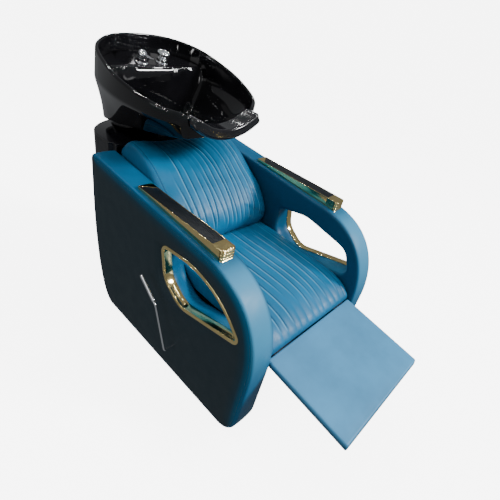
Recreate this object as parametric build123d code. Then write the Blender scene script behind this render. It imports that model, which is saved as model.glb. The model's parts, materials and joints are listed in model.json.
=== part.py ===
from build123d import *
from math import cos, hypot, radians, sin
import os

# A shampoo backwash unit: an upholstered chair between two side panels, with a ceramic basin behind it.
# Millimetres. +Z is up, Z = 0 is the floor, X = 0 is the centre plane, and the sitter faces -Y.
# The sitter's right side, which carries the footrest lever, is at -X.

os.makedirs("parts", exist_ok=True)

# Side panels
UNIT_WIDTH = 680.0
PANEL_THICK = 95.0
PANEL_OUT = UNIT_WIDTH / 2
PANEL_IN = PANEL_OUT - PANEL_THICK
PANEL_BOTTOM = 5.0
PANEL_TOP_FRONT = (-190.0, 642.0)
PANEL_TOP_REAR = (453.0, 684.5)
FACING_THICK = 4.0
FACING_INSET = 9.0
CORE_THICK = 20.0
CORE_INSET = 14.0

# Gold-lined window in each panel: (Y, Z) corners of the flange's outer edge, and their radii
WINDOW_CORNERS = [(2, 560), (-250, 594), (-411, 433), (-118, 360), (-24, 424)]
WINDOW_RADII = [32, 300, 25, 90, 90]
WINDOW_INNER_CORNERS = [(-12, 533), (-150, 562), (-352, 526), (-402, 430), (-118, 358), (-20, 420)]
WINDOW_INNER_RADII = [30, 150, 60, 30, 90, 80]
FLANGE_WIDTH = 13.0
FLANGE_PROUD = 2.5
SLEEVE_WALL = 3.0
SLEEVE_DEPTH = 30.0

# Armrests
ARM_CENTRE = 293.0
ARM_WIDTH = 54.0
ARM_TOP = 676.0
ARM_FRONT = -250.0
ARM_REAR = 172.0
ARM_PAD_THICK = 8.0
ARM_LIP = 3.0
ARM_CAP_LENGTH = 46.0
PAD_END_OUTER = 4.0
PAD_END_INNER = 38.0

# Seat, backrest and footrest
SEAT_HALF = 243.0
SEAT_BOARD_TOP = 360.0
BOARD_THICK = 15.0
BACK_ANGLE = 44.6
BACK_COS = cos(radians(BACK_ANGLE))
BACK_SIN = sin(radians(BACK_ANGLE))
BACK_FOOT = (165.0, 448.0)
BACK_BOARD_GAP = 0.0
BACK_BOARD_THICK = 12.0
BACK_BOARD_LENGTH = 320.0
FOOT_PIVOT = (-440.0, 337.0)
FOOT_REAR = (-447.0, 349.0)
FOOT_LENGTH = 322.0
FOOT_SLOPE = 8.5
FOOT_CUSHION = 18.0
FOOT_BOARD = 10.0
FOOT_HALF = 242.0
HINGE_X = 184.0

# Footrest lever, crank and push rod: the crank and the footrest arm are equal and parallel
SHAFT = (-115.0, 170.0)
SHAFT_R = 10.0
BUSH_WALL = 4.0
RUNNING = 0.05
CRANK_LENGTH = 60.0
PIN_R = 5.0
OPEN_PIVOT_R = 6.0
LINK_THICK = 8.0
CRANK_X = -158.0
ROD_X = -149.0
LEVER_X = -385.0
LEVER_KINK = (-50.0, 342.0)
LEVER_END = (43.0, 417.0)
LEVER_R = 4.2
LEVER_SOCKET = 30.0
GRIP_HALF = 7.0
GRIP_THICK = 11.0
SHAFT_END = -332.0

# Base frame
ANCHOR_X = 80.0
ANCHOR_Y = 60.0
ANCHOR_R = 6.5
TUBE = 30.0
TUBE_WALL = 2.0
PLATE = 6.0
SEAT_RAIL_Z = 320.0
SEAT_RAIL_H = 25.0

# Rear housing and the basin's column
HOUSING_TOP = 700.0
HOUSING_LID = 8.0
HOUSING_SKIN = 4.0
SHELL_FRONT = 332.0
HATCH_HALF = 120.0
HATCH_LOW = 150.0
HATCH_HIGH = 500.0
INLET_X = 50.0
INLET_Z = 90.0
INLET_R = 10.4
PIPE_R = 9.0
INLET_START = 697.0
INLET_END = 721.0
HOUSING_FRONT = 440.0
HOUSING_REAR = 715.0
HOUSING_HALF = 258.0
COLUMN = 60.0
COLUMN_Y = 620.0
COLUMN_TOP = 640.0

# Basin: rim, belly, chine and heel are level lines round its form, each (Y, Z) at the front, and a slope
RIM_FRONT = (145.0, 897.0)
RIM_REAR = (690.0, 1035.0)
RIM_LENGTH = hypot(RIM_REAR[0] - RIM_FRONT[0], RIM_REAR[1] - RIM_FRONT[1])
RIM_SIN = (RIM_REAR[1] - RIM_FRONT[1]) / RIM_LENGTH
RIM_COS = (RIM_REAR[0] - RIM_FRONT[0]) / RIM_LENGTH
BELLY = (144.0, 866.0, 0.075)
CHINE = (142.0, 822.0, -0.1855)
HEEL = (590.0, 706.0, 0.0)
DECK_DROP = 62.0
NECK_RADIUS = 235.0
NECK_BOTTOM = 843.0
TILT_PIVOT = (590.0, 719.0)
DRAIN_Y = 505.0
DRAIN_R = 21.0
DRAIN_SLOPE = 0.259
FLANGE_SEAT = 0.1
BASIN_WALL = 12.0
DECK_SPOT = 455.0
DECK_FRONT = 560.0
DECK_FOOT = 537.0
MIXER_X = -40.0
MIXER_HINGE = (15.0, 31.4)
SHOWER_X = 56.0


def save(name, *solids):
    shape = solids[0] if len(solids) == 1 else Compound(children=list(solids))
    export_step(shape, f"parts/{name}.step")


def slab(face, x0, x1):
    """Extrude a face drawn in (Y, Z) from x0 to x1."""
    low, high = sorted((x0, x1))
    return extrude(Plane.YZ.offset(low) * face, amount=high - low)


def block(x0, x1, y0, y1, z0, z1):
    size = (abs(x1 - x0), abs(y1 - y0), abs(z1 - z0))
    return Pos((x0 + x1) / 2, (y0 + y1) / 2, (z0 + z1) / 2) * Box(*size)


def along_x(y, z, radius, x0, x1):
    """A cylinder along X."""
    return slab(Pos(y, z) * Circle(radius), x0, x1)


def along_y(x, z, radius, y0, y1):
    """A cylinder along Y."""
    return Pos(x, (y0 + y1) / 2, z) * Rot(90, 0, 0) * Cylinder(radius, abs(y1 - y0))


def polygon(*points):
    return make_face(Polyline(*points, close=True))


def rounded(points, radii):
    return make_face(FilletPolyline(*points, radius=radii, close=True))


def box_tube(x0, x1, y0, y1, z0, z1, axis):
    """A square tube, open at both ends along the given axis."""
    outer = block(x0, x1, y0, y1, z0, z1)
    w = TUBE_WALL
    over = 1.0
    cut = {
        "x": (x0 - over, x1 + over, y0 + w, y1 - w, z0 + w, z1 - w),
        "y": (x0 + w, x1 - w, y0 - over, y1 + over, z0 + w, z1 - w),
        "z": (x0 + w, x1 - w, y0 + w, y1 - w, z0 - over, z1 + over),
    }[axis]
    return outer - block(*cut)


# ---- side panels ----

def panel_outline(inset=0.0):
    """The panel's side view, drawn smaller by moving each curve's control points inwards."""
    i = inset
    floor = PANEL_BOTTOM + i
    top_front = (PANEL_TOP_FRONT[0], PANEL_TOP_FRONT[1] - i)
    top_rear = (PANEL_TOP_REAR[0] - i, PANEL_TOP_REAR[1] - i)
    top = FilletPolyline(top_front, top_rear, (456 - i, 480), radius=25 - i)
    rear = Bezier((456 - i, 480), (456 - i, 250), (415 - 0.3 * i, floor), (334, floor))
    bottom = Line((334, floor), (-375, floor))
    toe = Bezier((-375, floor), (-425 + 0.4 * i, floor), (-454 + i, 45 + 0.4 * i), (-458 + i, 110))
    front = Line((-458 + i, 110), (-462 + i, 330))
    brow = Bezier((-462 + i, 330), (-462 + i, 545 - 0.3 * i), (-345 + 0.3 * i, 640 - i), top_front)
    return make_face([*top.edges(), rear, bottom, toe, front, brow])


def window(grow):
    return offset(rounded(WINDOW_CORNERS, WINDOW_RADII), amount=grow)


def side_panel(side, name):
    """A plywood core wrapped in padding, with a dark facing let into the outer side."""
    outline = panel_outline()
    hole = window(SLEEVE_WALL - FLANGE_WIDTH)
    sleeve_in = PANEL_OUT - SLEEVE_DEPTH
    board_out = PANEL_OUT - FACING_THICK
    facing = slab(panel_outline(FACING_INSET) - hole, side * board_out, side * PANEL_OUT)
    core_face = panel_outline(CORE_INSET) - window(SLEEVE_WALL)
    core = slab(core_face, side * (board_out - CORE_THICK), side * board_out)
    wrap = slab(outline, side * PANEL_IN, side * PANEL_OUT)
    wrap -= slab(hole, side * sleeve_in, side * (PANEL_OUT + 1))
    inner_hole = rounded(WINDOW_INNER_CORNERS, WINDOW_INNER_RADII)
    wrap -= slab(inner_hole, side * (PANEL_IN - 1), side * sleeve_in)
    wrap = wrap - core - facing
    if side < 0:
        bore = along_x(*SHAFT, SHAFT_R + BUSH_WALL, side * (PANEL_IN - 1), side * (PANEL_OUT + 1))
        facing -= along_x(*SHAFT, LEVER_R + 3, side * (PANEL_IN - 1), side * (PANEL_OUT + 1))
        core -= bore
        wrap -= bore
    save(f"side_board_{name}", core)
    save(f"side_upholstery_{name}", wrap)
    save(f"side_facing_{name}", facing)
    return wrap


def window_trim(side, name):
    """A gold flange on the facing and a sleeve into the window, in three lengths."""
    flange_face = window(0) - window(-FLANGE_WIDTH)
    sleeve_face = window(SLEEVE_WALL - FLANGE_WIDTH) - window(-FLANGE_WIDTH)
    ring = slab(flange_face, side * PANEL_OUT, side * (PANEL_OUT + FLANGE_PROUD))
    ring += slab(sleeve_face, side * (PANEL_OUT - SLEEVE_DEPTH), side * PANEL_OUT)
    x0, x1 = PANEL_IN * side, (PANEL_OUT + 20) * side
    top_rear = slab(polygon((-169, 700), (-169, 492), (60, 492), (60, 700)), x0, x1)
    low_rear = slab(polygon((-60, 300), (-60, 492), (60, 492), (60, 300)), x0, x1)
    save(f"window_trim_{name}", ring & top_rear, ring & low_rear, ring - top_rear - low_rear)


def armrest(side, name, panel):
    """A gold rail on the panel's sloping top, with a black pad between two end caps."""
    inner, outer = side * (ARM_CENTRE - ARM_WIDTH / 2), side * (ARM_CENTRE + ARM_WIDTH / 2)
    slope = (PANEL_TOP_REAR[1] - PANEL_TOP_FRONT[1]) / (PANEL_TOP_REAR[0] - PANEL_TOP_FRONT[0])
    rear_z = PANEL_TOP_FRONT[1] + slope * (ARM_REAR - PANEL_TOP_FRONT[0])
    foot_z = 640.0
    cap_rear = ARM_FRONT + ARM_CAP_LENGTH
    cap_face = polygon((ARM_FRONT - 12, foot_z), (cap_rear, foot_z),
                       (cap_rear, ARM_TOP), (ARM_FRONT, ARM_TOP))
    cap = slab(cap_face, inner, outer) - panel
    rail_face = polygon((cap_rear, foot_z), (ARM_REAR, rear_z), (ARM_REAR, ARM_TOP), (cap_rear, ARM_TOP))
    rail = slab(rail_face, inner, outer) - panel
    lip = ARM_LIP * side
    pad_face = polygon((inner + lip, cap_rear), (outer - lip, cap_rear),
                       (outer - lip, ARM_REAR - PAD_END_OUTER), (inner + lip, ARM_REAR - PAD_END_INNER))
    pad = extrude(Pos(0, 0, ARM_TOP - ARM_PAD_THICK) * pad_face, amount=ARM_PAD_THICK, dir=(0, 0, 1))
    rail -= pad
    save(f"armrest_front_cap_{name}", cap)
    save(f"armrest_rail_{name}", rail)
    save(f"armrest_pad_{name}", pad)


# ---- base frame ----

def base_frame():
    low, high = PLATE, PLATE + TUBE
    plate = block(-100, 100, -80, 80, 0, PLATE)
    for x in (-ANCHOR_X, ANCHOR_X):
        for y in (-ANCHOR_Y, ANCHOR_Y):
            plate -= Pos(x, y, PLATE / 2) * Cylinder(ANCHOR_R, PLATE * 2)
    save("floor_anchor_plate", plate)
    half = PANEL_IN - TUBE
    rail_low, rail_high = SEAT_RAIL_Z, SEAT_RAIL_Z + SEAT_RAIL_H
    floor_tubes = [box_tube(-half, half, y, y + TUBE, low, high, "x") for y in (-330, -15, 300)]
    floor_tubes.append(box_tube(-20, 20, 330, COLUMN_Y - COLUMN / 2, low, high, "y"))
    seat_tubes = [box_tube(-half, half, y, y + TUBE, rail_low, rail_high, "x") for y in (-330, 30)]
    legs = []
    for x in (-PANEL_IN, half):
        floor_tubes.append(box_tube(x, x + TUBE, -400, 330, low, high, "y"))
        seat_tubes.append(box_tube(x, x + TUBE, -410, 75, rail_low, rail_high, "y"))
        legs += [box_tube(x, x + TUBE, y, y + TUBE, high, rail_low, "z") for y in (-330, 30)]
    save("floor_frame_tubes", *floor_tubes)
    save("seat_frame_tubes", *seat_tubes)
    save("seat_legs", *legs)
    feet = [Pos(x, y, PANEL_BOTTOM / 2) * Cylinder(16, PANEL_BOTTOM)
            for x in (-ARM_CENTRE, ARM_CENTRE) for y in (-340, -20, 300)]
    save("glide_feet", *feet)


def back_supports():
    """Flat bars that stand on the floor rails and lean back behind the backrest."""
    (foot_y, foot_z), (tip_y, tip_z) = back_line(BACK_BOARD_GAP + BACK_BOARD_THICK)
    depth = 26.0
    over_y, over_z = tip_y + BACK_SIN * depth, tip_z - BACK_COS * depth
    leg_front, leg_rear = 150.0, 185.0
    bend_front = foot_z - (foot_y - leg_front) * BACK_SIN / BACK_COS
    bend_rear = over_z - (over_y - leg_rear) * BACK_SIN / BACK_COS
    rail_top = PLATE + TUBE
    profile = polygon((leg_front, rail_top), (leg_rear, rail_top), (leg_rear, bend_rear),
                      (over_y, over_z), (tip_y, tip_z), (foot_y, foot_z), (leg_front, bend_front))
    save("back_supports", slab(profile, -218 - PLATE, -218), slab(profile, 218, 218 + PLATE))


def back_line(gap):
    """Foot and tip, in (Y, Z), of a line behind the back cushion and parallel to its rear face."""
    foot_y = BACK_FOOT[0] + BACK_SIN * gap
    foot_z = BACK_FOOT[1] - BACK_COS * gap
    tip_y = foot_y + BACK_COS * BACK_BOARD_LENGTH
    tip_z = foot_z + BACK_SIN * BACK_BOARD_LENGTH
    return (foot_y, foot_z), (tip_y, tip_z)


def column():
    half = COLUMN / 2
    wall = 3.0
    post = block(-half, half, COLUMN_Y - half, COLUMN_Y + half, PLATE, COLUMN_TOP)
    post -= block(-half + wall, half - wall, COLUMN_Y - half + wall, COLUMN_Y + half - wall,
                  PLATE - 1, COLUMN_TOP + 1)
    base = block(-80, 80, COLUMN_Y - 80, COLUMN_Y + 60, 0, PLATE)
    for x in (-60, 60):
        for y in (COLUMN_Y - 65, COLUMN_Y + 45):
            base -= Pos(x, y, PLATE / 2) * Cylinder(5.5, PLATE * 2)
    save("basin_column", post + base)


# ---- rear housing ----

def housing_outline(z, half, rear, front, inset=0.0):
    """A D-shaped plan: straight between the panels, a little wider behind them, round at the back."""
    neck = PANEL_IN - 2 - inset
    wide = half - inset
    back = rear - inset
    start = front + inset
    step = 462.0
    corner, round_start = step + 12, 560.0
    points = [(-wide, round_start), (-wide, corner), (-neck, step), (-neck, start),
              (neck, start), (neck, step), (wide, corner), (wide, round_start)]
    sides = Polyline(*points)
    pull = 0.58 * wide
    round_left = Bezier((wide, round_start), (wide, 640 - inset), (pull, back), (0, back))
    round_right = Bezier((0, back), (-pull, back), (-wide, 640 - inset), (-wide, round_start))
    return Pos(0, 0, z) * make_face([*sides.edges(), round_left, round_right])


def rear_housing():
    low_z, top_z = 8.0, HOUSING_TOP - HOUSING_LID
    foot_half, foot_rear = 246.0, 692.0
    over = 1.0
    outer = loft([housing_outline(low_z, foot_half, foot_rear, SHELL_FRONT),
                  housing_outline(top_z, HOUSING_HALF, HOUSING_REAR, SHELL_FRONT)])
    inner = loft([housing_outline(low_z - over, foot_half, foot_rear, SHELL_FRONT, HOUSING_SKIN),
                  housing_outline(top_z + over, HOUSING_HALF, HOUSING_REAR, SHELL_FRONT, HOUSING_SKIN)])
    shell = outer - inner
    shell -= block(-235, 235, SHELL_FRONT - over, 400, 0, HOUSING_TOP)
    shell -= block(-300, 300, SHELL_FRONT - over, HOUSING_FRONT, 470, HOUSING_TOP)
    gap = 1.0
    hatch = shell & block(-HATCH_HALF, HATCH_HALF, 600, 760, HATCH_LOW, HATCH_HIGH)
    shell -= block(-HATCH_HALF - gap, HATCH_HALF + gap, 600, 760, HATCH_LOW - gap, HATCH_HIGH + gap)
    for x in (-INLET_X, INLET_X):
        shell -= along_y(x, INLET_Z, INLET_R + 1, 600, 760)
    save("rear_shell", shell)
    screws = []
    for x in (-HATCH_HALF + 12, HATCH_HALF - 12):
        for z in (HATCH_LOW + 12, HATCH_HIGH - 12):
            probe = hatch & block(x - 1, x + 1, 600, 760, z - 1, z + 1)
            seat_y = probe.bounding_box().max.Y
            screw = along_y(x, z, 2.4, seat_y - 16, seat_y) + along_y(x, z, 5, seat_y, seat_y + 2.5)
            hatch -= along_y(x, z, 2.4, 600, 760)
            screws.append(screw - hatch)
    save("service_hatch", hatch)
    save("hatch_screws", *screws)
    lid = extrude(housing_outline(top_z, HOUSING_HALF, HOUSING_REAR, HOUSING_FRONT), amount=HOUSING_LID)
    lid -= block(-62, 62, 570, 662, top_z - over, HOUSING_TOP + over)
    lid -= Pos(0, DRAIN_Y - 13, top_z) * Cylinder(38, 4 * HOUSING_LID)
    save("housing_top", lid)


def water_inlets():
    """Two supply pipes, thicker outside the shell, clamped in a bracket on the column."""
    made = []
    plate = block(-80, 80, 652, 655, 60, 120)
    for x in (-INLET_X, INLET_X):
        pipe = along_y(x, INLET_Z, PIPE_R, 630, INLET_START)
        pipe += along_y(x, INLET_Z, INLET_R, INLET_START, INLET_END)
        pipe -= along_y(x, INLET_Z, 7, 629, INLET_END + 1)
        nut = along_y(x, INLET_Z, 16, 655, 663) - along_y(x, INLET_Z, PIPE_R, 654, 664)
        made.append(pipe)
        made.append(nut)
        plate -= along_y(x, INLET_Z, PIPE_R, 640, 660)
    save("water_inlets", *made)
    arms = block(-30, 30, 650, 652, 60, 120)
    save("inlet_bracket", plate + arms)


# ---- seat and backrest ----

def seat():
    board = block(-SEAT_HALF, SEAT_HALF, -425, 100, SEAT_BOARD_TOP - BOARD_THICK, SEAT_BOARD_TOP)
    save("seat_board", board)
    top = Spline((75, 430), (46, 431), (-172, 432), (-330, 424), (-405, 402), (-440, 372))
    nose = Polyline((-440, 372), (-442, 356), (-427, 353), (-427, SEAT_BOARD_TOP),
                    (75, SEAT_BOARD_TOP), (75, 430))
    cushion = slab(make_face([*top.edges(), *nose.edges()]), -SEAT_HALF, SEAT_HALF)
    save("seat_cushion", cushion)


def backrest():
    front = Spline((47, 434), (36, 472), (46, 519), (99, 589), (177, 648), (240, 697), (316, 729))
    crown = Spline((316, 729), (356, 738), (396, 735), (426, 706))
    (foot_y, foot_z), (tip_y, tip_z) = back_line(BACK_BOARD_GAP)
    rear = Polyline((426, 706), (tip_y, tip_z), (foot_y, foot_z), (150, 434), (47, 434))
    cushion = slab(make_face([*front.edges(), *crown.edges(), *rear.edges()]), -SEAT_HALF, SEAT_HALF)
    saddle_r = 600.0
    cushion -= Pos(0, 350, 702 + saddle_r) * Rot(90, 0, 0) * Cylinder(saddle_r, 400)
    save("back_cushion", cushion)
    far_foot, far_tip = back_line(BACK_BOARD_GAP + BACK_BOARD_THICK)
    board = polygon((foot_y, foot_z), (tip_y, tip_z), far_tip, far_foot)
    save("back_board", slab(board, -SEAT_HALF, SEAT_HALF))


# ---- footrest and its linkage ----

def under_foot(along, down):
    """A point in (Y, Z) on the footrest: along its slope from the rear edge, and below its top face."""
    c, s = cos(radians(FOOT_SLOPE)), sin(radians(FOOT_SLOPE))
    return (FOOT_REAR[0] - along * c - down * s, FOOT_REAR[1] - along * s - down * c)


def foot_plate(start, end, top, bottom):
    return polygon(under_foot(start, top), under_foot(end, top),
                   under_foot(end, bottom), under_foot(start, bottom))


def footrest():
    under = FOOT_CUSHION + FOOT_BOARD
    cushion = slab(foot_plate(1, FOOT_LENGTH, 0, FOOT_CUSHION), -FOOT_HALF, FOOT_HALF)
    save("footrest_cushion", fillet(cushion.edges().filter_by(Axis.X), 5))
    board_half = FOOT_HALF - 4
    save("footrest_board", slab(foot_plate(6, FOOT_LENGTH - 4, FOOT_CUSHION, under), -board_half, board_half))
    y, z = FOOT_PIVOT
    pin_z = z - CRANK_LENGTH
    x0, x1 = CRANK_X, CRANK_X + LINK_THICK
    arm_face = polygon(under_foot(10, under), under_foot(85, under), (y - 11, pin_z - 2), (y + 11, pin_z))
    arm = slab(arm_face, x0, x1)
    arm += along_x(y, pin_z, 11, x0, x1)
    save("footrest_arm", arm + link_pin(y, pin_z))
    leaves, seat_leaves, pins = [], [], []
    for side in (-1, 1):
        centre = side * HINGE_X
        knuckle = along_x(y, z, 8, centre - 12, centre + 12)
        strap = slab(foot_plate(-6, 70, under, under + 3), centre - 12, centre + 12)
        neck = slab(polygon(under_foot(-6, under), under_foot(-6, under + 3), (y + 6, z - 5), (y - 6, z - 5)),
                    centre - 12, centre + 12)
        leaf = knuckle + strap + neck
        leaves.append(leaf - along_x(y, z, PIN_R, centre - 20, centre + 20))
        low = SEAT_BOARD_TOP - BOARD_THICK
        for lug in (centre - 22, centre + 13):
            ear = along_x(y, z, 8, lug, lug + 9)
            ear_face = polygon((y, z - 8), (y + 20, z - 3), (y + 40, low), (y + 15, low), (y, z + 7))
            ear += slab(ear_face, lug, lug + 9)
            seat_leaves.append(ear - along_x(y, z, PIN_R + RUNNING, lug - 1, lug + 10))
        pins.append(along_x(y, z, PIN_R, centre - 24, centre + 24))
    save("footrest_hinge_leaves", *leaves)
    save("footrest_hinge_lugs", *seat_leaves)
    save("footrest_hinge_pins", *pins)


def link_pin(y, z):
    """A headed stud, welded to its plate, that carries the push rod's eye."""
    head = ROD_X + LINK_THICK + 0.2
    return along_x(y, z, PIN_R, CRANK_X, head) + along_x(y, z, 8, head, head + 3)


def lever():
    y, z = SHAFT
    x0, x1 = CRANK_X, CRANK_X + LINK_THICK
    socket_end = SHAFT_END + LEVER_SOCKET
    shaft = along_x(y, z, SHAFT_R, SHAFT_END, x1)
    save("torque_shaft", shaft - along_x(y, z, LEVER_R, SHAFT_END - 1, socket_end))
    pin_z = z - CRANK_LENGTH
    crank = along_x(y, z, 18, x0, x1) + along_x(y, pin_z, 11, x0, x1)
    crank += slab(polygon((y - 11, z), (y + 11, z), (y + 9, pin_z), (y - 9, pin_z)), x0, x1)
    crank -= along_x(y, z, SHAFT_R, x0 - 1, x1 + 1)
    save("crank_arm", crank + link_pin(y, pin_z))
    collar = along_x(y, z, 17, -207.5, -197.5) - along_x(y, z, SHAFT_R, -209, -196)
    save("shaft_collar", collar)
    arm = along_x(y, z, LEVER_R, LEVER_X, socket_end) + Pos(LEVER_X, y, z) * Sphere(LEVER_R)
    arm += bar((LEVER_X, y, z), (LEVER_X, *LEVER_KINK), LEVER_R)
    run_y, run_z = LEVER_END[0] - LEVER_KINK[0], LEVER_END[1] - LEVER_KINK[1]
    stub = (LEVER_X, LEVER_KINK[0] + 0.25 * run_y, LEVER_KINK[1] + 0.25 * run_z)
    arm += Pos(LEVER_X, *LEVER_KINK) * Sphere(LEVER_R) + bar((LEVER_X, *LEVER_KINK), stub, LEVER_R)
    save("lever_arm", arm)
    across = GRIP_HALF / hypot(run_y, run_z)
    x0, x1 = LEVER_X - GRIP_THICK / 2, LEVER_X + GRIP_THICK / 2
    dy, dz = -run_z * across, run_y * across
    start_y, start_z = LEVER_KINK[0] + 0.12 * run_y, LEVER_KINK[1] + 0.12 * run_z
    end_y, end_z = LEVER_END[0] - 0.08 * run_y, LEVER_END[1] - 0.08 * run_z
    grip = slab(polygon((start_y + dy, start_z + dz), (end_y + dy, end_z + dz),
                        (end_y - dy, end_z - dz), (start_y - dy, start_z - dz)), x0, x1)
    for end in ((start_y, start_z), (end_y, end_z)):
        grip += along_x(*end, GRIP_HALF, x0, x1)
    save("lever_grip", grip - arm)


def bar(start, end, radius):
    run = Vector(*end) - Vector(*start)
    return extrude(Plane(origin=start, z_dir=run) * Circle(radius), amount=run.length)


def shaft_supports():
    y, z = SHAFT
    inner = SHAFT_R + RUNNING
    outer = SHAFT_R + BUSH_WALL
    bush = along_x(y, z, outer, -PANEL_OUT + FACING_THICK, -PANEL_IN)
    bush -= along_x(y, z, inner, -PANEL_OUT, -PANEL_IN + 5)
    rail_in = -(PANEL_IN - TUBE)
    hanger = block(rail_in, rail_in + PLATE, y - 28, y + 28, PLATE, z + 28)
    save("shaft_hanger", hanger - along_x(y, z, outer, rail_in - 5, rail_in + 15))
    sleeve = along_x(y, z, outer, rail_in - 1, rail_in + PLATE + 1)
    save("shaft_bushes", bush, sleeve - along_x(y, z, inner, rail_in - 5, rail_in + 15))


def push_rod():
    rear = (SHAFT[0], SHAFT[1] - CRANK_LENGTH)
    front = (FOOT_PIVOT[0], FOOT_PIVOT[1] - CRANK_LENGTH)
    run = hypot(front[0] - rear[0], front[1] - rear[1])
    dy, dz = -6 * (front[1] - rear[1]) / run, 6 * (front[0] - rear[0]) / run
    x0, x1 = ROD_X, ROD_X + LINK_THICK
    rod = slab(polygon((rear[0] + dy, rear[1] + dz), (front[0] + dy, front[1] + dz),
                       (front[0] - dy, front[1] - dz), (rear[0] - dy, rear[1] - dz)), x0, x1)
    for end, bore in ((rear, PIN_R + RUNNING), (front, OPEN_PIVOT_R)):
        rod += along_x(*end, 11, x0, x1)
        rod -= along_x(*end, bore, x0 - 1, x1 + 1)
    save("push_rod", rod)


# ---- basin ----

def basin_face(plane, start, front_half, widest_at, half, length, fullness):
    """A basin cross-section on a plane whose second axis runs rearwards: flat front, full round rear."""
    rear = length - widest_at

    def rear_point(degrees_round):
        x = half * cos(radians(degrees_round)) ** (2 / fullness)
        y = widest_at + rear * sin(radians(degrees_round)) ** (2 / fullness)
        return (x, y)

    front_run = widest_at - start
    cheek = (front_half + 0.62 * (half - front_half), start + 0.24 * front_run)
    jaw = (front_half + 0.93 * (half - front_half), start + 0.62 * front_run)
    right = [(front_half, start), cheek, jaw, (half, widest_at)]
    right += [rear_point(angle) for angle in (28, 50, 70)]
    left = [(-x, y) for x, y in reversed(right)]
    outline = [Line((-front_half, start), (front_half, start)), Spline(*right, (0, length), *left)]
    return plane * make_face(outline)


def sloped(y, z, slope):
    """A plane through (0, y, z) whose second axis runs rearwards and climbs by the slope."""
    return Plane(origin=(0, y, z), x_dir=(1, 0, 0), z_dir=(0, -slope, 1))


def basin_loft(lift, wall):
    """The basin's whole form: rim, belly, chine and heel, shrunk by the wall and raised."""
    rise = wall + 2 if wall else 0.0
    rim = sloped(RIM_FRONT[0] - lift * RIM_SIN, RIM_FRONT[1] + lift * RIM_COS, RIM_SIN / RIM_COS)
    belly = sloped(*BELLY)
    chine = sloped(CHINE[0], CHINE[1] + rise, CHINE[2])
    heel = sloped(HEEL[0], HEEL[1] + rise, HEEL[2])
    return loft([basin_face(rim, wall, 150 - wall, 290, 273 - wall, RIM_LENGTH - wall, 2.35),
                 basin_face(belly, wall, 150 - wall, 320, 266 - wall, 560 - wall, 2.45),
                 basin_face(chine, wall, 150 - wall, 425, 196 - wall, 576 - wall, 3.0),
                 basin_face(heel, wall, 92 - wall, 70, 139 - wall, 120 - wall, 3.2)], ruled=True)


def basin():
    """A slip-cast shell with a rear deck for the taps, and a hollow behind the bowl for their hoses."""
    outer = basin_loft(0, 0)
    inner = basin_loft(2, BASIN_WALL)
    body = outer - inner
    t = BASIN_WALL
    deck_slope = RIM_SIN / RIM_COS
    spot = deck_spot(0).origin
    back = 730.0
    deck_z = spot.Z - (spot.Y - DECK_FRONT) * deck_slope
    deck_rear = deck_z + (back - DECK_FRONT) * deck_slope
    rear_face = polygon((DECK_FOOT, 690), (DECK_FRONT, deck_z), (back, deck_rear), (back, 690))
    rear_block = slab(rear_face, -300, 300)
    hollow = slab(polygon((DECK_FOOT + t, 690), (DECK_FRONT + t, deck_z - t),
                          (back, deck_rear - t), (back, 690)), -300, 300)
    body += (inner & rear_block) - hollow
    web = block(-300, 300, 540, back, 762, 774)
    body += (inner & hollow) & web
    body -= block(-100, 100, 606, 688, 690, 735)
    body -= block(-62, 62, 574, 688, 690, 762)
    body -= along_y(0, NECK_BOTTOM + NECK_RADIUS, NECK_RADIUS, 100, 205)
    body -= drain_plane() * Cylinder(DRAIN_R, 80)
    body -= deck_spot(MIXER_X) * Cylinder(10, 60)
    body -= deck_spot(SHOWER_X) * Cylinder(16, 60)
    save("basin", body)
    return body


def deck_spot(x):
    """A plane on the basin's rear deck, square to it."""
    along = DECK_SPOT
    y = RIM_FRONT[0] + along * RIM_COS + DECK_DROP * RIM_SIN
    z = RIM_FRONT[1] + along * RIM_SIN - DECK_DROP * RIM_COS
    return Plane(origin=(x, y, z), x_dir=(1, 0, 0), z_dir=(0, -RIM_SIN, RIM_COS))


def drain_plane():
    floor_z = 835.54 - DRAIN_SLOPE * (DRAIN_Y - 154)
    return Plane(origin=(0, DRAIN_Y, floor_z), x_dir=(1, 0, 0), z_dir=(0, DRAIN_SLOPE, 1))


def ring(plane, outer, inner, low, high):
    middle = (low + high) / 2
    tall = high - low
    return plane * (Pos(0, 0, middle) * (Cylinder(outer, tall) - Cylinder(inner, tall + 2)))


def drain():
    p = drain_plane()
    strainer = ring(p, 30, 16, FLANGE_SEAT, 3) + ring(p, DRAIN_R, 16, -34, FLANGE_SEAT)
    strainer += p * (Pos(0, 0, -1) * Cylinder(16, 3))
    for x in (-9, -3, 3, 9):
        strainer -= p * (Pos(x, 0, -1) * Box(2.6, 20, 6))
    save("drain_strainer", strainer)
    save("drain_gasket", ring(p, 30, DRAIN_R, -19.2, -16.2))
    save("drain_locknut", ring(p, 28, DRAIN_R, -28.2, -19.2))
    save("drain_tailpiece", ring(p, 19, 16, -94, -34))


def neck_rest(body):
    """A U-shaped rest in the basin's neck notch, hooked over its front wall."""
    notch_z = NECK_BOTTOM + NECK_RADIUS
    lip = along_y(0, notch_z, NECK_RADIUS, 104, 172) - along_y(0, notch_z, NECK_RADIUS - 13, 100, 180)
    lip &= block(-150, 150, 100, 180, 700, 897)
    apron = along_y(0, notch_z, NECK_RADIUS + 26, 104, 141.5) - along_y(0, notch_z, NECK_RADIUS, 100, 180)
    apron &= block(-150, 150, 100, 180, 700, 897)
    save("neck_rest", lip + apron - body)


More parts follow.
